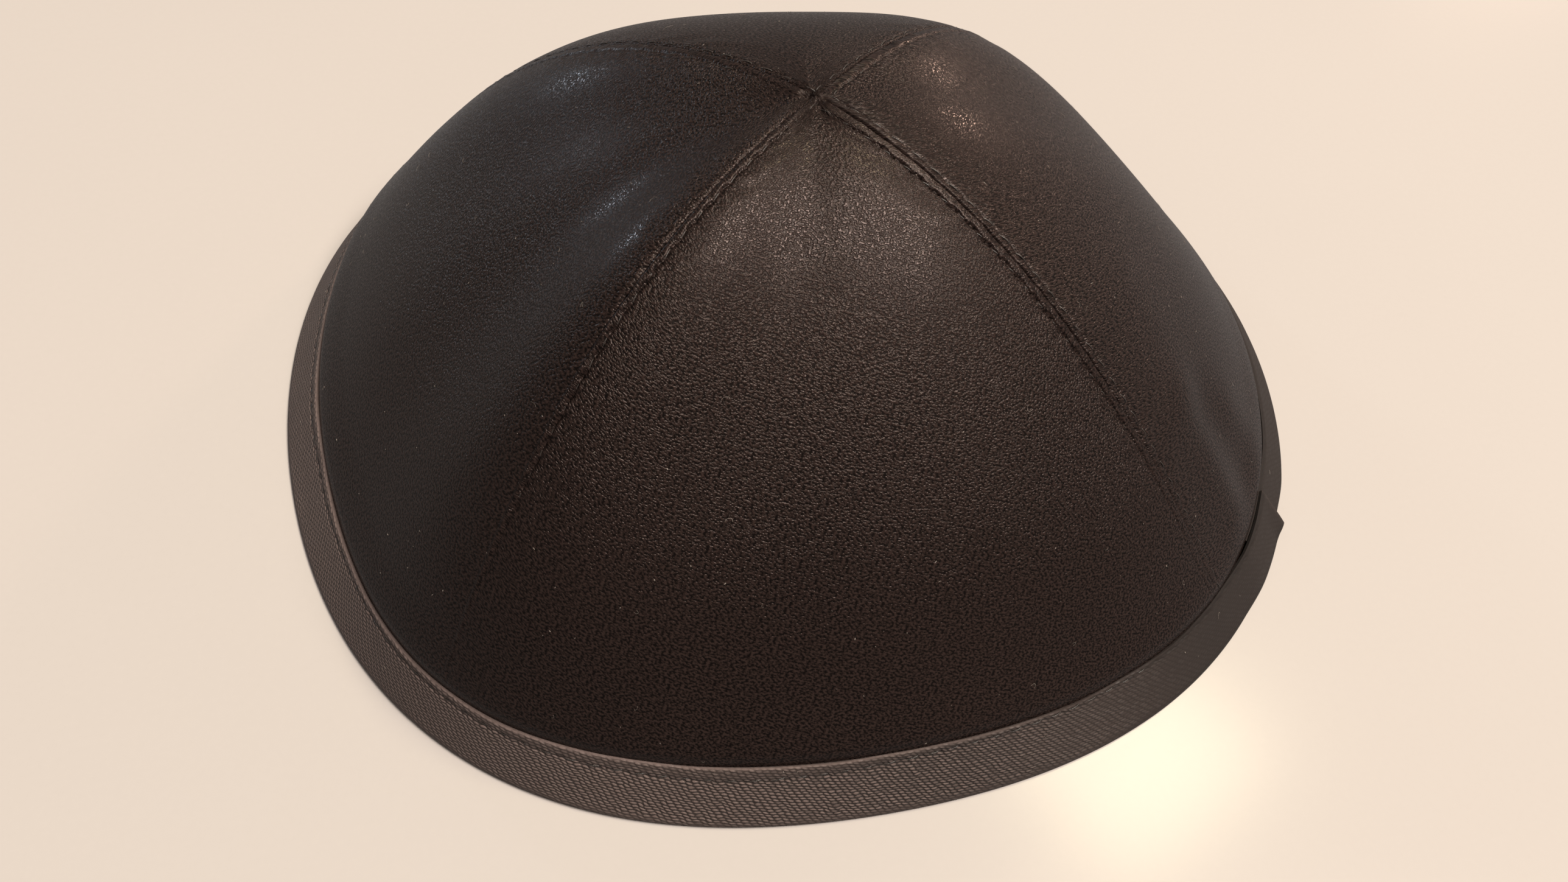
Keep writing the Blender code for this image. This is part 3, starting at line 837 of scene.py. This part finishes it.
def rib_weave_group():
    """Short leaning ribs of a narrow tape, staggered from one row to the next."""
    tree = node_group("Rib Weave", "ShaderNodeTree", (
        ("NodeSocketVector", "Vector", None),
        ("NodeSocketFloat", "Rib Length", 1.45 * MM),
        ("NodeSocketFloat", "Rib Width", 0.62 * MM),
        ("NodeSocketFloat", "Lean", 0.12),
    ), (("NodeSocketFloat", "Height"), ("NodeSocketFloat", "Rib")))
    source = tree.nodes.new("NodeGroupInput")
    result = tree.nodes.new("NodeGroupOutput")
    parts = add_node(tree, "ShaderNodeSeparateXYZ", links=((source.outputs["Vector"], 0),))
    wobble = add_node(tree, "ShaderNodeTexNoise", (("Scale", 330.0), ("Detail", 2.0), ("Roughness", 0.6)),
                      ((source.outputs["Vector"], "Vector"),), noise_dimensions="2D")
    wander = math_node(tree, "MULTIPLY", math_node(tree, "SUBTRACT", wobble.outputs["Fac"], 0.5), 1.5)
    leaning = math_node(tree, "MULTIPLY_ADD", parts.outputs["X"], source.outputs["Lean"], parts.outputs["Y"])
    rows = math_node(tree, "ADD", math_node(tree, "DIVIDE", leaning, source.outputs["Rib Width"]), wander)
    row = math_node(tree, "FLOOR", rows)
    shift = math_node(tree, "MULTIPLY", row, 0.36)
    along = math_node(tree, "ADD", math_node(tree, "DIVIDE", parts.outputs["X"], source.outputs["Rib Length"]),
                      math_node(tree, "MULTIPLY_ADD", wander, 0.3, shift))
    across_share = math_node(tree, "SUBTRACT", math_node(tree, "FRACT", rows), 0.5)
    along_share = math_node(tree, "SUBTRACT", math_node(tree, "FRACT", along), 0.5)
    across_round = math_node(tree, "POWER", math_node(tree, "ABSOLUTE", across_share), 2.0)
    along_round = math_node(tree, "POWER", math_node(tree, "ABSOLUTE", along_share), 2.0)
    spread = math_node(tree, "MULTIPLY", math_node(tree, "ADD", across_round, along_round), 3.6)
    over = add_node(tree, "ShaderNodeMapRange", (("From Min", 1.0), ("From Max", 0.0)),
                    ((spread, "Value"),), interpolation_type="SMOOTHSTEP")
    fibres = add_node(tree, "ShaderNodeTexNoise", (("Scale", 5200.0), ("Detail", 1.0)),
                      ((source.outputs["Vector"], "Vector"),), noise_dimensions="2D")
    cell = add_node(tree, "ShaderNodeCombineXYZ", links=((math_node(tree, "FLOOR", along), "X"), (row, "Y")))
    chance = add_node(tree, "ShaderNodeTexWhiteNoise", links=((cell.outputs[0], "Vector"),),
                      noise_dimensions="2D")
    own = math_node(tree, "MULTIPLY", over.outputs["Result"],
                    math_node(tree, "MULTIPLY_ADD", chance.outputs["Value"], 0.6, 0.4))
    height = math_node(tree, "MULTIPLY_ADD", fibres.outputs["Fac"], 0.22, own)
    tree.links.new(height, result.inputs["Height"])
    tree.links.new(height, result.inputs["Rib"])
    return tree


def new_material(name, colour, roughness, specular):
    """A material whose Principled shader has the uniform values set on its own sockets."""
    material = bpy.data.materials.new(name)
    material.use_nodes = True
    tree = material.node_tree
    shader = tree.nodes["Principled BSDF"]
    shader.inputs["Base Color"].default_value = (*colour, 1.0)
    shader.inputs["Roughness"].default_value = roughness
    shader.inputs["Specular IOR Level"].default_value = specular
    shader.inputs["Metallic"].default_value = 0.0
    return material, tree, shader


def mix_colours(tree, factor, low, high):
    """A colour between two, by a factor that changes over the surface."""
    mix = tree.nodes.new("ShaderNodeMix")
    mix.data_type = "RGBA"
    tree.links.new(factor, mix.inputs["Factor"])
    mix.inputs["A"].default_value = (*low, 1.0)
    mix.inputs["B"].default_value = (*high, 1.0)
    return mix.outputs["Result"]


def map_range(tree, value, low, high, to_low, to_high):
    """A value carried from one range to another."""
    node = add_node(tree, "ShaderNodeMapRange", (("From Min", low), ("From Max", high), ("To Min", to_low),
                                                 ("To Max", to_high)), ((value, "Value"),))
    return node.outputs["Result"]


def shaded(colour, factor):
    """A colour made lighter or darker."""
    return tuple(channel * factor for channel in colour)


def add_bump(tree, shader, height, distance, strength=1.0, before=None):
    """A Bump node that feeds the shader's Normal."""
    bump = add_node(tree, "ShaderNodeBump", (("Strength", strength), ("Distance", distance)),
                    ((height, "Height"),))
    if before is not None:
        tree.links.new(before, bump.inputs["Normal"])
    tree.links.new(bump.outputs["Normal"], shader.inputs["Normal"])
    return bump.outputs["Normal"]


@lru_cache(maxsize=None)
def satin_material():
    """Black satin with a crepe grain, a soft sheen, slight changes of tone and painted glints on its raised flecks."""
    cloth = bpy.context.scene.skullcap_cloth
    colour = tuple(cloth.satin_colour)
    material, tree, shader = new_material("black crepe satin", colour, cloth.satin_roughness, 0.155)
    shader.inputs["Specular Tint"].default_value = (1.0, 0.81, 0.76, 1.0)
    flat = add_node(tree, "ShaderNodeUVMap", uv_map="ClothMap")
    grain = tree.nodes.new("ShaderNodeGroup")
    grain.node_tree = bpy.data.node_groups.get("Crepe Grain") or crepe_grain_group()
    grain.inputs["Fleck Length"].default_value = cloth.grain_length
    tree.links.new(flat.outputs["UV"], grain.inputs["Vector"])
    place = tree.nodes.new("ShaderNodeTexCoord")
    clouds = add_node(tree, "ShaderNodeTexNoise", (("Scale", 38.0), ("Detail", 3.0)),
                      ((place.outputs["Object"], "Vector"),))
    # Partly the flecks' own tone and partly painted glints: the raised flecks of the grain are painted lighter, and
    # the clouds vary the tone at random.
    tone = math_node(tree, "MULTIPLY_ADD", grain.outputs["Height"], 0.85,
                     math_node(tree, "MULTIPLY", clouds.outputs["Fac"], 0.15))
    tree.links.new(mix_colours(tree, tone, shaded(colour, 0.0), shaded(colour, 2.2)),
                   shader.inputs["Base Color"])
    rough = map_range(tree, grain.outputs["Fleck"], 0.3, 0.7, cloth.satin_roughness + 0.08,
                      cloth.satin_roughness - 0.08)
    tree.links.new(rough, shader.inputs["Roughness"])
    pressed = add_node(tree, "ShaderNodeAttribute", attribute_name="grain_share")
    height = math_node(tree, "MULTIPLY", grain.outputs["Height"], pressed.outputs["Fac"])
    add_bump(tree, shader, height, cloth.grain_depth)
    return material


@lru_cache(maxsize=None)
def tape_material():
    """Matt black tape with short leaning ribs, their tops painted lighter as painted glints."""
    cloth = bpy.context.scene.skullcap_cloth
    colour = tuple(cloth.tape_colour)
    material, tree, shader = new_material("black ribbed tape", colour, 0.52, 0.13)
    shader.inputs["Sheen Weight"].default_value = 0.03
    flat = add_node(tree, "ShaderNodeUVMap", uv_map="ClothMap")
    weave = tree.nodes.new("ShaderNodeGroup")
    weave.node_tree = bpy.data.node_groups.get("Rib Weave") or rib_weave_group()
    weave.inputs["Rib Length"].default_value = cloth.rib_length
    weave.inputs["Rib Width"].default_value = cloth.rib_width
    tree.links.new(flat.outputs["UV"], weave.inputs["Vector"])
    ribs = add_node(tree, "ShaderNodeAttribute", attribute_name="rib_share")
    tone = add_node(tree, "ShaderNodeAttribute", attribute_name="tone_and_painted_light_share")
    smooth = math_node(tree, "SUBTRACT", 1.0, ribs.outputs["Fac"])
    raised = math_node(tree, "MULTIPLY", weave.outputs["Rib"], ribs.outputs["Fac"])
    light = math_node(tree, "MULTIPLY_ADD", smooth, 0.45, raised)
    shade = math_node(tree, "MULTIPLY", light, tone.outputs["Fac"])
    # Partly the weave's own pattern and partly painted glints: the raised ribs are painted far lighter than the gaps.
    # The tone attribute adds the painted light and shade along the tape.
    tree.links.new(mix_colours(tree, shade, shaded(colour, 0.10), shaded(colour, 2.0)),
                   shader.inputs["Base Color"])
    rough = map_range(tree, weave.outputs["Rib"], 0.0, 1.0, 0.75, 0.46)
    tree.links.new(rough, shader.inputs["Roughness"])
    add_bump(tree, shader, raised, 0.26 * MM)
    return material


@lru_cache(maxsize=None)
def thread_material():
    """Twisted black sewing thread."""
    cloth = bpy.context.scene.skullcap_cloth
    colour = tuple(cloth.thread_colour)
    material, tree, shader = new_material("black sewing thread", colour, 0.42, 0.5)
    place = tree.nodes.new("ShaderNodeTexCoord")
    twist = add_node(tree, "ShaderNodeTexNoise", (("Scale", 5200.0), ("Detail", 1.0)),
                     ((place.outputs["Object"], "Vector"),))
    tree.links.new(mix_colours(tree, twist.outputs["Fac"], shaded(colour, 0.4), shaded(colour, 1.7)),
                   shader.inputs["Base Color"])
    add_bump(tree, shader, twist.outputs["Fac"], 0.05 * MM)
    return material


@lru_cache(maxsize=None)
def lint_material():
    """Pale specks of lint."""
    cloth = bpy.context.scene.skullcap_cloth
    colour = tuple(cloth.lint_colour)
    material, tree, shader = new_material("pale lint", colour, 0.9, 0.2)
    place = tree.nodes.new("ShaderNodeTexCoord")
    tone = add_node(tree, "ShaderNodeTexNoise", (("Scale", 300.0),), ((place.outputs["Object"], "Vector"),))
    tree.links.new(mix_colours(tree, tone.outputs["Fac"], shaded(colour, 0.3), shaded(colour, 1.5)),
                   shader.inputs["Base Color"])
    return material


# Stitches
def stitch_tree(name):
    """A tree that sets one arched thread at each pitch along a line, standing on the line's normals."""
    tree = node_group(name, "GeometryNodeTree", (
        ("NodeSocketGeometry", "Geometry", None),
        ("NodeSocketFloat", "Pitch", 3.3 * MM),
        ("NodeSocketFloat", "Length", 2.5 * MM),
        ("NodeSocketFloat", "Thread Radius", 0.085 * MM),
        ("NodeSocketFloat", "Arch", 0.06 * MM),
        ("NodeSocketFloat", "Depth", 0.30 * MM),
        ("NodeSocketFloat", "Lean", 0.12),
        ("NodeSocketFloat", "Jitter", 0.07),
        ("NodeSocketInt", "Seed", 3),
        ("NodeSocketMaterial", "Material", None),
    ), (("NodeSocketGeometry", "Geometry"),))
    source = tree.nodes.new("NodeGroupInput")
    result = tree.nodes.new("NodeGroupOutput")
    line = add_node(tree, "GeometryNodeMeshToCurve", links=((source.outputs["Geometry"], "Mesh"),))
    even = add_node(tree, "GeometryNodeResampleCurve", links=(
        (line.outputs["Curve"], "Curve"), (source.outputs["Pitch"], "Length")), mode="LENGTH")
    half = math_node(tree, "MULTIPLY", source.outputs["Length"], 0.5)
    back = math_node(tree, "MULTIPLY", half, -1.0)
    down = math_node(tree, "MULTIPLY", source.outputs["Depth"], -1.0)
    first = add_node(tree, "ShaderNodeCombineXYZ", links=((back, "X"), (down, "Z")))
    high = math_node(tree, "ADD", math_node(tree, "MULTIPLY", source.outputs["Arch"], 2.0),
                     source.outputs["Depth"])
    top = add_node(tree, "ShaderNodeCombineXYZ", links=((high, "Z"),))
    last = add_node(tree, "ShaderNodeCombineXYZ", links=((half, "X"), (down, "Z")))
    arch = add_node(tree, "GeometryNodeCurveQuadraticBezier", (("Resolution", 9),), (
        (first.outputs[0], "Start"), (top.outputs[0], "Middle"), (last.outputs[0], "End")))
    ring = add_node(tree, "GeometryNodeCurvePrimitiveCircle", (("Resolution", 7),), (
        (source.outputs["Thread Radius"], "Radius"),))
    thread = add_node(tree, "GeometryNodeCurveToMesh", (("Fill Caps", True),), (
        (arch.outputs["Curve"], "Curve"), (ring.outputs["Curve"], "Profile Curve")))
    soft = add_node(tree, "GeometryNodeSetShadeSmooth", links=((thread.outputs["Mesh"], "Geometry"),))
    upright = add_node(tree, "GeometryNodeInputNamedAttribute", (("Name", "surface_normal"),),
                       data_type="FLOAT_VECTOR")
    tangent = tree.nodes.new("GeometryNodeInputTangent")
    turned = add_node(tree, "FunctionNodeAxesToRotation", links=(
        (upright.outputs["Attribute"], "Primary Axis"), (tangent.outputs["Tangent"], "Secondary Axis")),
        primary_axis="Z", secondary_axis="X")
    low = math_node(tree, "MULTIPLY", source.outputs["Jitter"], -1.0)
    swing = add_node(tree, "FunctionNodeRandomValue", links=(
        (low, 2), (source.outputs["Jitter"], 3), (source.outputs["Seed"], "Seed")), data_type="FLOAT")
    yaw = math_node(tree, "ADD", swing.outputs[1], source.outputs["Lean"])
    yaw_turn = add_node(tree, "ShaderNodeCombineXYZ", links=((yaw, "Z"),))
    spin = add_node(tree, "FunctionNodeEulerToRotation", links=((yaw_turn.outputs[0], 0),))
    leaning = add_node(tree, "FunctionNodeRotateRotation", links=(
        (turned.outputs["Rotation"], "Rotation"), (spin.outputs[0], "Rotate By")), rotation_space="LOCAL")
    sizes = add_node(tree, "FunctionNodeRandomValue", ((2, 0.88), (3, 1.10)), (
        (source.outputs["Seed"], "Seed"),), data_type="FLOAT")
    placed = add_node(tree, "GeometryNodeInstanceOnPoints", links=(
        (even.outputs["Curve"], "Points"), (soft.outputs["Geometry"], "Instance"),
        (leaning.outputs["Rotation"], "Rotation"), (sizes.outputs[1], "Scale")))
    real = add_node(tree, "GeometryNodeRealizeInstances", links=((placed.outputs["Instances"], "Geometry"),))
    dyed = add_node(tree, "GeometryNodeSetMaterial", links=(
        (real.outputs["Geometry"], "Geometry"), (source.outputs["Material"], "Material")))
    tree.links.new(dyed.outputs["Geometry"], result.inputs["Geometry"])
    return tree


def set_inputs(modifier, values):
    """Sets a Geometry Nodes modifier's inputs by their names, through their identifiers."""
    for item in modifier.node_group.interface.items_tree:
        if item.item_type == "SOCKET" and item.in_out == "INPUT" and item.name in values:
            modifier[item.identifier] = values[item.name]


def line_object(name, lines):
    """An object of open lines; each line is an array of points and one of their normals."""
    points = np.concatenate([line[0] for line in lines])
    normals = np.concatenate([line[1] for line in lines])
    edges = []
    first = 0
    for line in lines:
        count = len(line[0])
        edges += [(first + step, first + step + 1) for step in range(count - 1)]
        first += count
    mesh = bpy.data.meshes.new(name)
    mesh.from_pydata(points.tolist(), edges, [])
    upright = mesh.attributes.new("surface_normal", "FLOAT_VECTOR", "POINT")
    upright.data.foreach_set("vector", normals.astype(np.float32).ravel())
    piece = bpy.data.objects.new(name, mesh)
    bpy.context.scene.collection.objects.link(piece)
    return piece


def sew(name, lines, cloth, seed, lean):
    """Stitches along lines, as one piece."""
    piece = line_object(name, lines)
    tree = stitch_tree(name + " tree")
    sewing = piece.modifiers.new("sewing", "NODES")
    sewing.node_group = tree
    set_inputs(sewing, {
        "Pitch": cloth.stitch_pitch,
        "Length": cloth.stitch_length,
        "Thread Radius": cloth.thread_radius,
        "Lean": lean,
        "Seed": seed,
        "Material": thread_material(),
    })
    bake_modifiers(piece, thread_material())
    piece.data.shade_smooth()
    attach(piece, "root")
    return piece


def crown_rows(cloth):
    """The lines of all the topstitching."""
    lines = []
    for number, side in SEAM_SIDES:
        shape = SEAM_SIDES[number, side]
        if shape.row > 0.0:
            azimuth, arc, points = row_line(number, side, cloth)[:3]
            normals = crown_normal(azimuth, arc)
            lines.append((points - shape.sunk * MM * normals, normals))
    return lines


def tape_row(cloth):
    """The line of the tape's stitches."""
    azimuth = np.linspace(TAPE_END_DEG + 62.0, TAPE_END_DEG + 330.0, 1300)
    arc = stitch_arc(azimuth)
    height = tape_lift(azimuth, cloth) + tape_relief(azimuth, arc, cloth)
    return [(offset_point(azimuth, arc, height), crown_normal(azimuth, arc))]


# Lint
def scatter(tree, source, density, seed, shape, low, high):
    """Instances of a shape, lying on the surface and turned and sized at random."""
    points = add_node(tree, "GeometryNodeDistributePointsOnFaces", (("Seed", seed),), (
        (source.outputs["Geometry"], "Mesh"), (source.outputs[density], "Density")),
        distribute_method="RANDOM")
    sizes = add_node(tree, "FunctionNodeRandomValue", ((0, low), (1, high), ("Seed", seed)),
                     data_type="FLOAT_VECTOR")
    spin = add_node(tree, "FunctionNodeRandomValue", ((2, 0.0), (3, 6.28), ("Seed", seed + 1)),
                    data_type="FLOAT")
    turn = add_node(tree, "ShaderNodeCombineXYZ", links=((spin.outputs[1], "Z"),))
    around = add_node(tree, "FunctionNodeEulerToRotation", links=((turn.outputs[0], 0),))
    lying = add_node(tree, "FunctionNodeRotateRotation", links=(
        (points.outputs["Rotation"], "Rotation"), (around.outputs[0], "Rotate By")), rotation_space="LOCAL")
    return add_node(tree, "GeometryNodeInstanceOnPoints", links=(
        (points.outputs["Points"], "Points"), (shape, "Instance"), (lying.outputs["Rotation"], "Rotation"),
        (sizes.outputs[0], "Scale"))).outputs["Instances"]


def lint_tree():
    """A tree that scatters small specks and short curled fibres over a surface."""
    tree = node_group("Lint", "GeometryNodeTree", (
        ("NodeSocketGeometry", "Geometry", None),
        ("NodeSocketFloat", "Density", 5200.0),
        ("NodeSocketFloat", "Fibre Density", 2200.0),
        ("NodeSocketFloat", "Speck Size", 0.10 * MM),
        ("NodeSocketFloat", "Fibre Radius", 0.022 * MM),
        ("NodeSocketMaterial", "Material", None),
    ), (("NodeSocketGeometry", "Geometry"),))
    source = tree.nodes.new("NodeGroupInput")
    result = tree.nodes.new("NodeGroupOutput")
    speck = add_node(tree, "GeometryNodeMeshIcoSphere", (("Subdivisions", 1),), (
        (source.outputs["Speck Size"], "Radius"),))
    bow = add_node(tree, "GeometryNodeCurvePrimitiveBezierSegment", (
        ("Resolution", 10), ("Start", (-0.5 * MM, 0.0, 0.0)), ("Start Handle", (-0.3 * MM, 0.75 * MM, 0.12 * MM)),
        ("End Handle", (0.55 * MM, 0.55 * MM, 0.05 * MM)), ("End", (0.4 * MM, -0.1 * MM, 0.10 * MM))))
    ring = add_node(tree, "GeometryNodeCurvePrimitiveCircle", (("Resolution", 4),), (
        (source.outputs["Fibre Radius"], "Radius"),))
    fibre = add_node(tree, "GeometryNodeCurveToMesh", (("Fill Caps", True),), (
        (bow.outputs["Curve"], "Curve"), (ring.outputs["Curve"], "Profile Curve")))
    specks = scatter(tree, source, "Density", 11, speck.outputs["Mesh"], (0.35, 0.25, 0.2), (2.4, 0.9, 0.6))
    fibres = scatter(tree, source, "Fibre Density", 17, fibre.outputs["Mesh"], (0.4, 0.2, 0.6), (1.3, 1.3, 1.0))
    both = add_node(tree, "GeometryNodeJoinGeometry", links=((specks, "Geometry"), (fibres, "Geometry")))
    real = add_node(tree, "GeometryNodeRealizeInstances", links=((both.outputs["Geometry"], "Geometry"),))
    dyed = add_node(tree, "GeometryNodeSetMaterial", links=(
        (real.outputs["Geometry"], "Geometry"), (source.outputs["Material"], "Material")))
    tree.links.new(dyed.outputs["Geometry"], result.inputs["Geometry"])
    return tree


def make_lint(cloth):
    """Specks of lint on the crown and the tape."""
    azimuth = np.broadcast_to(np.linspace(0.0, 360.0, 181)[:, None], (181, 60))
    share = np.linspace(0.03, 0.985, 60)[None, :]
    arc = share * whole_arc(azimuth)
    height = np.where(arc < TAPE_OUTSIDE, 0.12 * MM, cloth_height(azimuth, arc, cloth) + 0.02 * MM)
    points = offset_point(azimuth, arc, height)
    mesh = fill_mesh("lint", points.reshape(-1, 3), grid_faces(np.arange(181 * 60).reshape(181, 60)))
    mesh.flip_normals()
    piece = bpy.data.objects.new("lint", mesh)
    bpy.context.scene.collection.objects.link(piece)
    strewn = piece.modifiers.new("strewn", "NODES")
    strewn.node_group = lint_tree()
    set_inputs(strewn, {"Density": float(cloth.lint_count), "Fibre Density": float(cloth.fibre_count),
                        "Material": lint_material()})
    bake_modifiers(piece, lint_material())
    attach(piece, "root")
    return piece


# Stage
CAMERA_AZIMUTH = math.radians(-15.8758)
CAMERA_ELEVATION = math.radians(48.3363)
CAMERA_ROLL = math.radians(8.4621)
CAMERA_DISTANCE = 0.1957562
CAMERA_TARGET_HEIGHT = 0.030
CAMERA_AIM = (5.3862, -259.5039)
CAMERA_PIXELS = 1992.1053
IMAGE_WIDTH = 2576
SENSOR_WIDTH = 36.0


def camera_matrix():
    """The photograph's camera: on a sphere round the cap, rolled, and turned so that the cap sits low."""
    azimuth, elevation, roll = CAMERA_AZIMUTH, CAMERA_ELEVATION, CAMERA_ROLL
    back = Vector((math.sin(azimuth) * math.cos(elevation), -math.cos(azimuth) * math.cos(elevation),
                   math.sin(elevation)))
    level = Vector((math.cos(azimuth), math.sin(azimuth), 0.0))
    rise = back.cross(level)
    right = level * math.cos(roll) + rise * math.sin(roll)
    up = rise * math.cos(roll) - level * math.sin(roll)
    place = Vector((*AXIS, CAMERA_TARGET_HEIGHT)) + back * CAMERA_DISTANCE
    turn_x, turn_y = (math.atan2(aim, CAMERA_PIXELS) for aim in CAMERA_AIM)
    aimed_right = right * math.cos(turn_x) - back * math.sin(turn_x)
    ahead = -right * math.sin(turn_x) - back * math.cos(turn_x)
    aimed_up = up * math.cos(turn_y) - ahead * math.sin(turn_y)
    forward = up * math.sin(turn_y) + ahead * math.cos(turn_y)
    matrix = Matrix((aimed_right, aimed_up, -forward)).transposed().to_4x4()
    matrix.translation = place
    return matrix


def add_lamp(name, azimuth_deg, elevation_deg, distance, size, power, colour):
    """A square area lamp that faces the cap from a direction."""
    lamp = bpy.data.lights.new(name, "AREA")
    lamp.shape = "SQUARE"
    lamp.size = size
    lamp.energy = power
    lamp.color = colour
    holder = bpy.data.objects.new(name, lamp)
    azimuth, elevation = math.radians(azimuth_deg), math.radians(elevation_deg)
    away = Vector((math.cos(azimuth) * math.cos(elevation), math.sin(azimuth) * math.cos(elevation),
                   math.sin(elevation)))
    holder.location = away * distance
    holder.rotation_euler = away.to_track_quat("Z", "Y").to_euler()
    bpy.context.scene.collection.objects.link(holder)
    return holder


def make_stage(stage):
    """Floor, lamps, room light and camera."""
    scene = bpy.context.scene
    mesh = bpy.data.meshes.new("floor")
    reach = 2.5
    mesh.from_pydata([(-reach, -reach, -0.0001), (reach, -reach, -0.0001), (reach, reach, -0.0001),
                      (-reach, reach, -0.0001)], [], [(0, 1, 2, 3)])
    colour = tuple(stage.floor_colour)
    material, tree, shader = new_material("pale table top", colour, 0.16, 0.13)
    place = tree.nodes.new("ShaderNodeTexCoord")
    speckle = add_node(tree, "ShaderNodeTexNoise", (("Scale", 900.0), ("Detail", 2.0)),
                       ((place.outputs["Object"], "Vector"),))
    cloud = add_node(tree, "ShaderNodeTexNoise", (("Scale", 9.0), ("Detail", 3.0)),
                     ((place.outputs["Object"], "Vector"),))
    tone = math_node(tree, "MULTIPLY_ADD", speckle.outputs["Fac"], 0.4,
                     math_node(tree, "MULTIPLY", cloud.outputs["Fac"], 0.6))
    tree.links.new(mix_colours(tree, tone, shaded(colour, 0.97), shaded(colour, 1.03)),
                   shader.inputs["Base Color"])
    floor = bpy.data.objects.new("floor", mesh)
    mesh.materials.append(material)
    scene.collection.objects.link(floor)
    floor.visible_glossy = False
    world = bpy.data.worlds.new("room")
    world.use_nodes = True
    background = world.node_tree.nodes["Background"]
    background.inputs["Color"].default_value = (*stage.room_colour, 1.0)
    background.inputs["Strength"].default_value = stage.room_strength
    scene.world = world
    scene.view_settings.view_transform = "Standard"
    add_lamp("ceiling lamp", 338.0, 64.0, 4.0, 1.80, stage.ceiling_power, (1.0, 0.92, 0.83))
    add_lamp("window", 125.0, 11.0, 4.0, 0.50, stage.window_power, (0.72, 0.86, 1.0))
    add_lamp("side lamp", 44.0, 17.0, 4.0, 0.40, stage.side_power, (1.0, 0.68, 0.52))
    add_lamp("desk lamp", 30.5, 61.5, 4.0, 0.60, stage.spot_power, (1.0, 0.92, 0.60))
    camera = bpy.data.cameras.new("camera")
    camera.sensor_width = SENSOR_WIDTH
    camera.lens = CAMERA_PIXELS * SENSOR_WIDTH / IMAGE_WIDTH
    camera.clip_start = 0.01
    holder = bpy.data.objects.new("camera", camera)
    holder.matrix_world = camera_matrix()
    scene.collection.objects.link(holder)
    scene.camera = holder


class SKULLCAP_OT_stage(bpy.types.Operator):
    """Sets up the floor, the lamps and the camera"""

    bl_idname = "skullcap.stage"
    bl_label = "Stage"

    def execute(self, context):
        make_stage(context.scene.skullcap_stage)
        return {"FINISHED"}


class SKULLCAP_OT_tape(bpy.types.Operator):
    """Makes the ribbed tape that is folded round the rim"""

    bl_idname = "skullcap.tape"
    bl_label = "Rim Tape"

    def execute(self, context):
        make_tape(context.scene.skullcap_cloth, tape_material())
        return {"FINISHED"}


class SKULLCAP_OT_panels(bpy.types.Operator):
    """Makes the four satin panels with their seams and puckers"""

    bl_idname = "skullcap.panels"
    bl_label = "Satin Panels"

    def execute(self, context):
        for number in range(len(SEAMS)):
            make_panel(number, context.scene.skullcap_cloth, satin_material())
        return {"FINISHED"}


class SKULLCAP_OT_stitches(bpy.types.Operator):
    """Sews the topstitching beside the seams and the row in the tape"""

    bl_idname = "skullcap.stitches"
    bl_label = "Stitches"

    def execute(self, context):
        cloth = context.scene.skullcap_cloth
        sew("seam_stitches", crown_rows(cloth), cloth, 3, 0.14)
        sew("tape_stitches", tape_row(cloth), cloth, 5, 0.10)
        return {"FINISHED"}


class SKULLCAP_OT_lint(bpy.types.Operator):
    """Scatters a little lint over the cloth"""

    bl_idname = "skullcap.lint"
    bl_label = "Lint"

    def execute(self, context):
        make_lint(context.scene.skullcap_cloth)
        return {"FINISHED"}


class SKULLCAP_PT_sidebar(bpy.types.Panel):
    """Lists the cap's pieces and their sizes"""

    bl_label = "Skullcap"
    bl_idname = "SKULLCAP_PT_sidebar"
    bl_space_type = "VIEW_3D"
    bl_region_type = "UI"
    bl_category = "Skullcap"

    def draw(self, context):
        layout = self.layout
        for operator in OPERATORS:
            layout.operator(operator.bl_idname)
        for group in (context.scene.skullcap_cloth, context.scene.skullcap_stage):
            box = layout.box()
            for name in group.bl_rna.properties.keys():
                if name not in ("rna_type", "name"):
                    box.prop(group, name)


OPERATORS = (SKULLCAP_OT_stage, SKULLCAP_OT_tape, SKULLCAP_OT_panels, SKULLCAP_OT_stitches, SKULLCAP_OT_lint)
CLASSES = (SkullcapCloth, SkullcapStage, *OPERATORS, SKULLCAP_PT_sidebar)


def register():
    """Registers the add-on's classes and its settings."""
    for item in CLASSES:
        bpy.utils.register_class(item)
    bpy.types.Scene.skullcap_cloth = PointerProperty(type=SkullcapCloth)
    bpy.types.Scene.skullcap_stage = PointerProperty(type=SkullcapStage)


def unregister():
    """Removes the add-on's settings and classes."""
    del bpy.types.Scene.skullcap_stage
    del bpy.types.Scene.skullcap_cloth
    for item in reversed(CLASSES):
        bpy.utils.unregister_class(item)


def main():
    """Makes every piece."""
    register()
    bpy.ops.skullcap.stage()
    bpy.ops.skullcap.tape()
    bpy.ops.skullcap.panels()
    bpy.ops.skullcap.stitches()
    bpy.ops.skullcap.lint()


if __name__ == "__main__":
    main()
